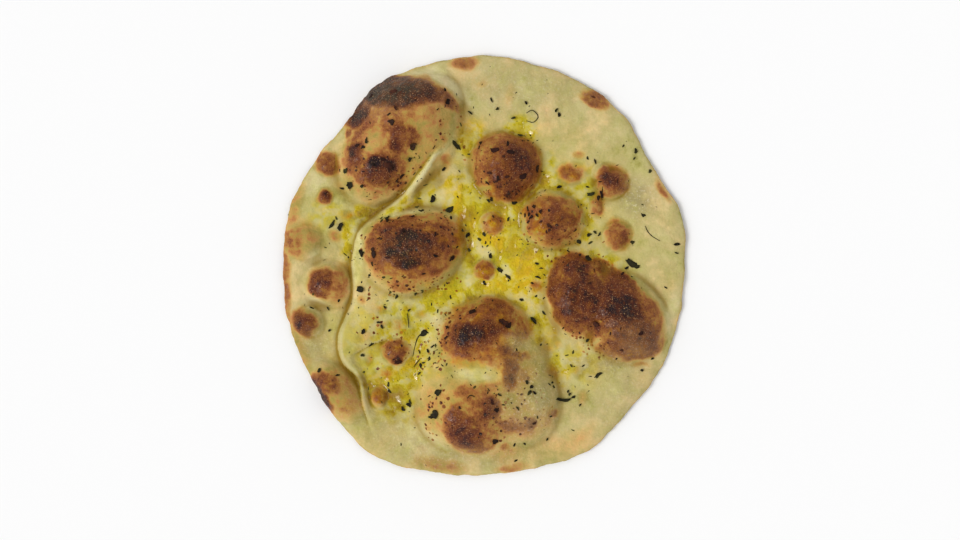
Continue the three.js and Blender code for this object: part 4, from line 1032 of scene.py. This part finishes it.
def herb_stems():
    """Thin dry stems that lie curved on the crust, each a closed tube that tapers at both ends."""
    sides, steps = 6, 12
    random = np.random.default_rng(5)
    points, faces, tints, scorches = [], [], [], []
    for stem in STEMS:
        line = curve_through(np.array(stem, float), np.linspace(0, len(stem) - 1, steps))
        height = crust_height(line[:, 0], line[:, 1]) + STEM_RADIUS * 0.7 + 0.3 * random.random(steps)
        path = np.column_stack([line, height])
        along = np.gradient(path, axis=0)
        along /= np.linalg.norm(along, axis=1)[:, None]
        across = np.cross(along, [0, 0, 1])
        across /= np.linalg.norm(across, axis=1)[:, None]
        outwards = np.cross(across, along)
        start = sum(len(part) for part in points)
        radius = STEM_RADIUS * np.sin(np.linspace(0.35, math.pi - 0.35, steps)) ** 0.6
        turns = np.arange(sides) / sides * math.tau
        for i in range(steps):
            ring = np.outer(np.cos(turns), across[i]) + np.outer(np.sin(turns), outwards[i])
            points.append(path[i] + radius[i] * ring)
        for i in range(steps - 1):
            for k in range(sides):
                a, b = start + i * sides + k, start + i * sides + (k + 1) % sides
                faces.append([a, b, b + sides, a + sides])
        faces.append([start + k for k in range(sides)][::-1])
        faces.append([start + (steps - 1) * sides + k for k in range(sides)])
        tints += [random.uniform(0.4, 0.9)] * (steps * sides)
        scorches += [0.0] * (steps * sides)
    piece = new_mesh("herb_stems", np.vstack(points), faces)
    set_field(piece, "tint", tints)
    set_field(piece, "bake", scorches)
    piece.data.materials.append(stem_skin)
    return piece


def herb_scatter_tree():
    """Small flakes strewn on a surface, densest where its field herbs is high."""
    tree, n, given, out = new_group(
        "herb scatter", "GeometryNodeTree",
        [("Geometry", GEOMETRY, None), ("Density", FLOAT, 10000.0), ("Smallest", FLOAT, 0.0004),
         ("Largest", FLOAT, 0.001), ("Thickness", FLOAT, 0.0003), ("Raggedness", FLOAT, 0.0003),
         ("Seed", "NodeSocketInt", 1), ("Material", MATERIAL, None)],
        [("Geometry", GEOMETRY)],
    )
    cover = n.add("GeometryNodeInputNamedAttribute", {"Name": "herbs"}, data_type="FLOAT").outputs[0]
    density = n.math("MULTIPLY", n.math("POWER", cover, 1.3), given["Density"])
    strewn = n.add("GeometryNodeDistributePointsOnFaces",
                   {"Mesh": given["Geometry"], "Density": density, "Seed": given["Seed"]})
    flake = n.add("GeometryNodeMeshCylinder",
                  {"Vertices": 7, "Radius": 1.0, "Depth": 1.0}, fill_type="TRIANGLE_FAN")
    sizes = n.add("FunctionNodeRandomValue", {2: given["Smallest"], 3: given["Largest"], "Seed": 3},
                  data_type="FLOAT").outputs[1]
    slim = n.add("FunctionNodeRandomValue", {2: 0.16, 3: 0.6, "Seed": 4}, data_type="FLOAT").outputs[1]
    scale = n.add("ShaderNodeCombineXYZ", {0: sizes, 1: n.math("MULTIPLY", sizes, slim),
                                           2: given["Thickness"]}).outputs[0]
    placed = n.add("GeometryNodeInstanceOnPoints", {
        "Points": strewn.outputs["Points"], "Instance": flake.outputs["Mesh"],
        "Rotation": strewn.outputs["Rotation"], "Scale": scale}).outputs[0]
    turn = n.add("FunctionNodeRandomValue", {2: 0.0, 3: math.tau, "Seed": 5}, data_type="FLOAT").outputs[1]
    lean = n.add("FunctionNodeRandomValue", {2: -0.35, 3: 0.35, "Seed": 6}, data_type="FLOAT").outputs[1]
    angles = n.add("ShaderNodeCombineXYZ", {0: lean, 1: 0.0, 2: turn}).outputs[0]
    turned_round = n.add("GeometryNodeRotateInstances", {"Instances": placed, "Rotation": angles}).outputs[0]
    shade = n.add("FunctionNodeRandomValue", {2: 0.0, 3: 0.9, "Seed": 7}, data_type="FLOAT").outputs[1]
    tinted = n.add("GeometryNodeStoreNamedAttribute", {"Geometry": turned_round, "Name": "tint", "Value": shade},
                   data_type="FLOAT", domain="INSTANCE").outputs[0]
    whole = n.add("GeometryNodeRealizeInstances", {0: tinted}).outputs[0]
    place = n.add("GeometryNodeInputPosition").outputs[0]
    jitter = n.add("ShaderNodeTexNoise", {"Vector": place, "Scale": 900.0, "Detail": 2.0}).outputs["Color"]
    centred = n.add("ShaderNodeVectorMath", {0: jitter, 1: (0.5, 0.5, 0.5)}, operation="SUBTRACT").outputs[0]
    offset = n.add("ShaderNodeVectorMath", {0: centred, "Scale": given["Raggedness"]}, operation="SCALE").outputs[0]
    ragged = n.add("GeometryNodeSetPosition", {"Geometry": whole, "Offset": offset}).outputs[0]
    final = n.add("GeometryNodeSetMaterial", {"Geometry": ragged, "Material": given["Material"]}).outputs[0]
    n.tree.links.new(final, out["Geometry"])
    return tree


def strewn_herbs(name, tree, values):
    """Flakes of one kind, strewn over the crust."""
    piece = bpy.data.objects.new(name, bread.data.copy())
    bpy.context.scene.collection.objects.link(piece)
    return grow(piece, tree, {"Thickness": 0.0003, "Raggedness": 0.0009, "Material": flake_skin, **values})


leaves = herb_leaves()
stems = herb_stems()
scatter = herb_scatter_tree()
flakes = strewn_herbs("herb_flakes", scatter, {"Density": 70000.0, "Smallest": 0.0002, "Largest": 0.0009, "Seed": 4})
bits = strewn_herbs("herb_bits", scatter, {"Density": 22000.0, "Smallest": 0.0007, "Largest": 0.0017, "Seed": 9})

# ---- What rides on what --------------------------------------------------------------------------------

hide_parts("bread")
for piece, slot in ((bread, "baked_dough"), (leaves, "dried_herbs"), (stems, "dried_herbs"),
                    (flakes, "dried_herbs"), (bits, "dried_herbs")):
    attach(piece, "root")

# ---- Floor, lights and camera --------------------------------------------------------------------------

FLOOR_SIZE = 20.0
FLOOR_DROP = 0.0003


def floor():
    """A plain pale floor just under the bread."""
    half = FLOOR_SIZE / 2
    corners = [(-half, -half), (half, -half), (half, half), (-half, half)]
    mesh = bpy.data.meshes.new("floor")
    mesh.from_pydata([(x, y, -FLOOR_DROP) for x, y in corners], [], [(0, 1, 2, 3)])
    plane = bpy.data.objects.new("floor", mesh)
    bpy.context.scene.collection.objects.link(plane)
    material, n, shader = new_material("floor")
    shader.inputs["Base Color"].default_value = (0.9, 0.9, 0.9, 1)
    shader.inputs["Roughness"].default_value = 0.9
    shader.inputs["Specular IOR Level"].default_value = 0.0
    mesh.materials.append(material)
    return plane


floor()

LIGHT_ELEVATION = 50
LIGHT_AZIMUTH = 196  # the way the light comes from, degrees from +X
SKY_STRENGTH = 0.8
OVERHEAD_STRENGTH = 0.15
OVERHEAD_FROM, OVERHEAD_TO = 0.8, 0.95  # how far up the sky dims, as the upward part of its direction


def lamp(name, strength, width):
    """A far lamp from the left, width degrees wide."""
    light = bpy.data.objects.new(name, bpy.data.lights.new(name, "SUN"))
    light.data.energy = strength
    light.data.angle = math.radians(width)
    light.rotation_euler = (0, math.radians(90 - LIGHT_ELEVATION), math.radians(LIGHT_AZIMUTH))
    bpy.context.scene.collection.objects.link(light)


def sky():
    """A white sky, dimmer straight overhead, so that flat oil stays deep in colour."""
    world = bpy.data.worlds.new("soft_sky")
    world.use_nodes = True
    n = Nodes(world.node_tree)
    upwards = n.add("ShaderNodeSeparateXYZ", {0: n.add("ShaderNodeTexCoord").outputs["Generated"]}).outputs[2]
    strength = n.span(upwards, OVERHEAD_FROM, OVERHEAD_TO, SKY_STRENGTH, OVERHEAD_STRENGTH)
    background = world.node_tree.nodes["Background"]
    background.inputs["Color"].default_value = (1, 1, 1, 1)
    world.node_tree.links.new(strength, background.inputs["Strength"])
    bpy.context.scene.world = world


lamp("broad_light", 1.5, 36)
lamp("small_light", 0.3, 7)
sky()
bpy.context.scene.view_settings.view_transform = "Standard"

CAMERA_LENS = 50
CAMERA_HEIGHT = 0.893
camera_data = bpy.data.cameras.new("camera")
camera_data.lens = CAMERA_LENS
camera = bpy.data.objects.new("camera", camera_data)
camera.location = ((-2.7 - centre[0]) * MM, (-3.3 - centre[1]) * MM, CAMERA_HEIGHT)
bpy.context.scene.collection.objects.link(camera)
bpy.context.scene.camera = camera
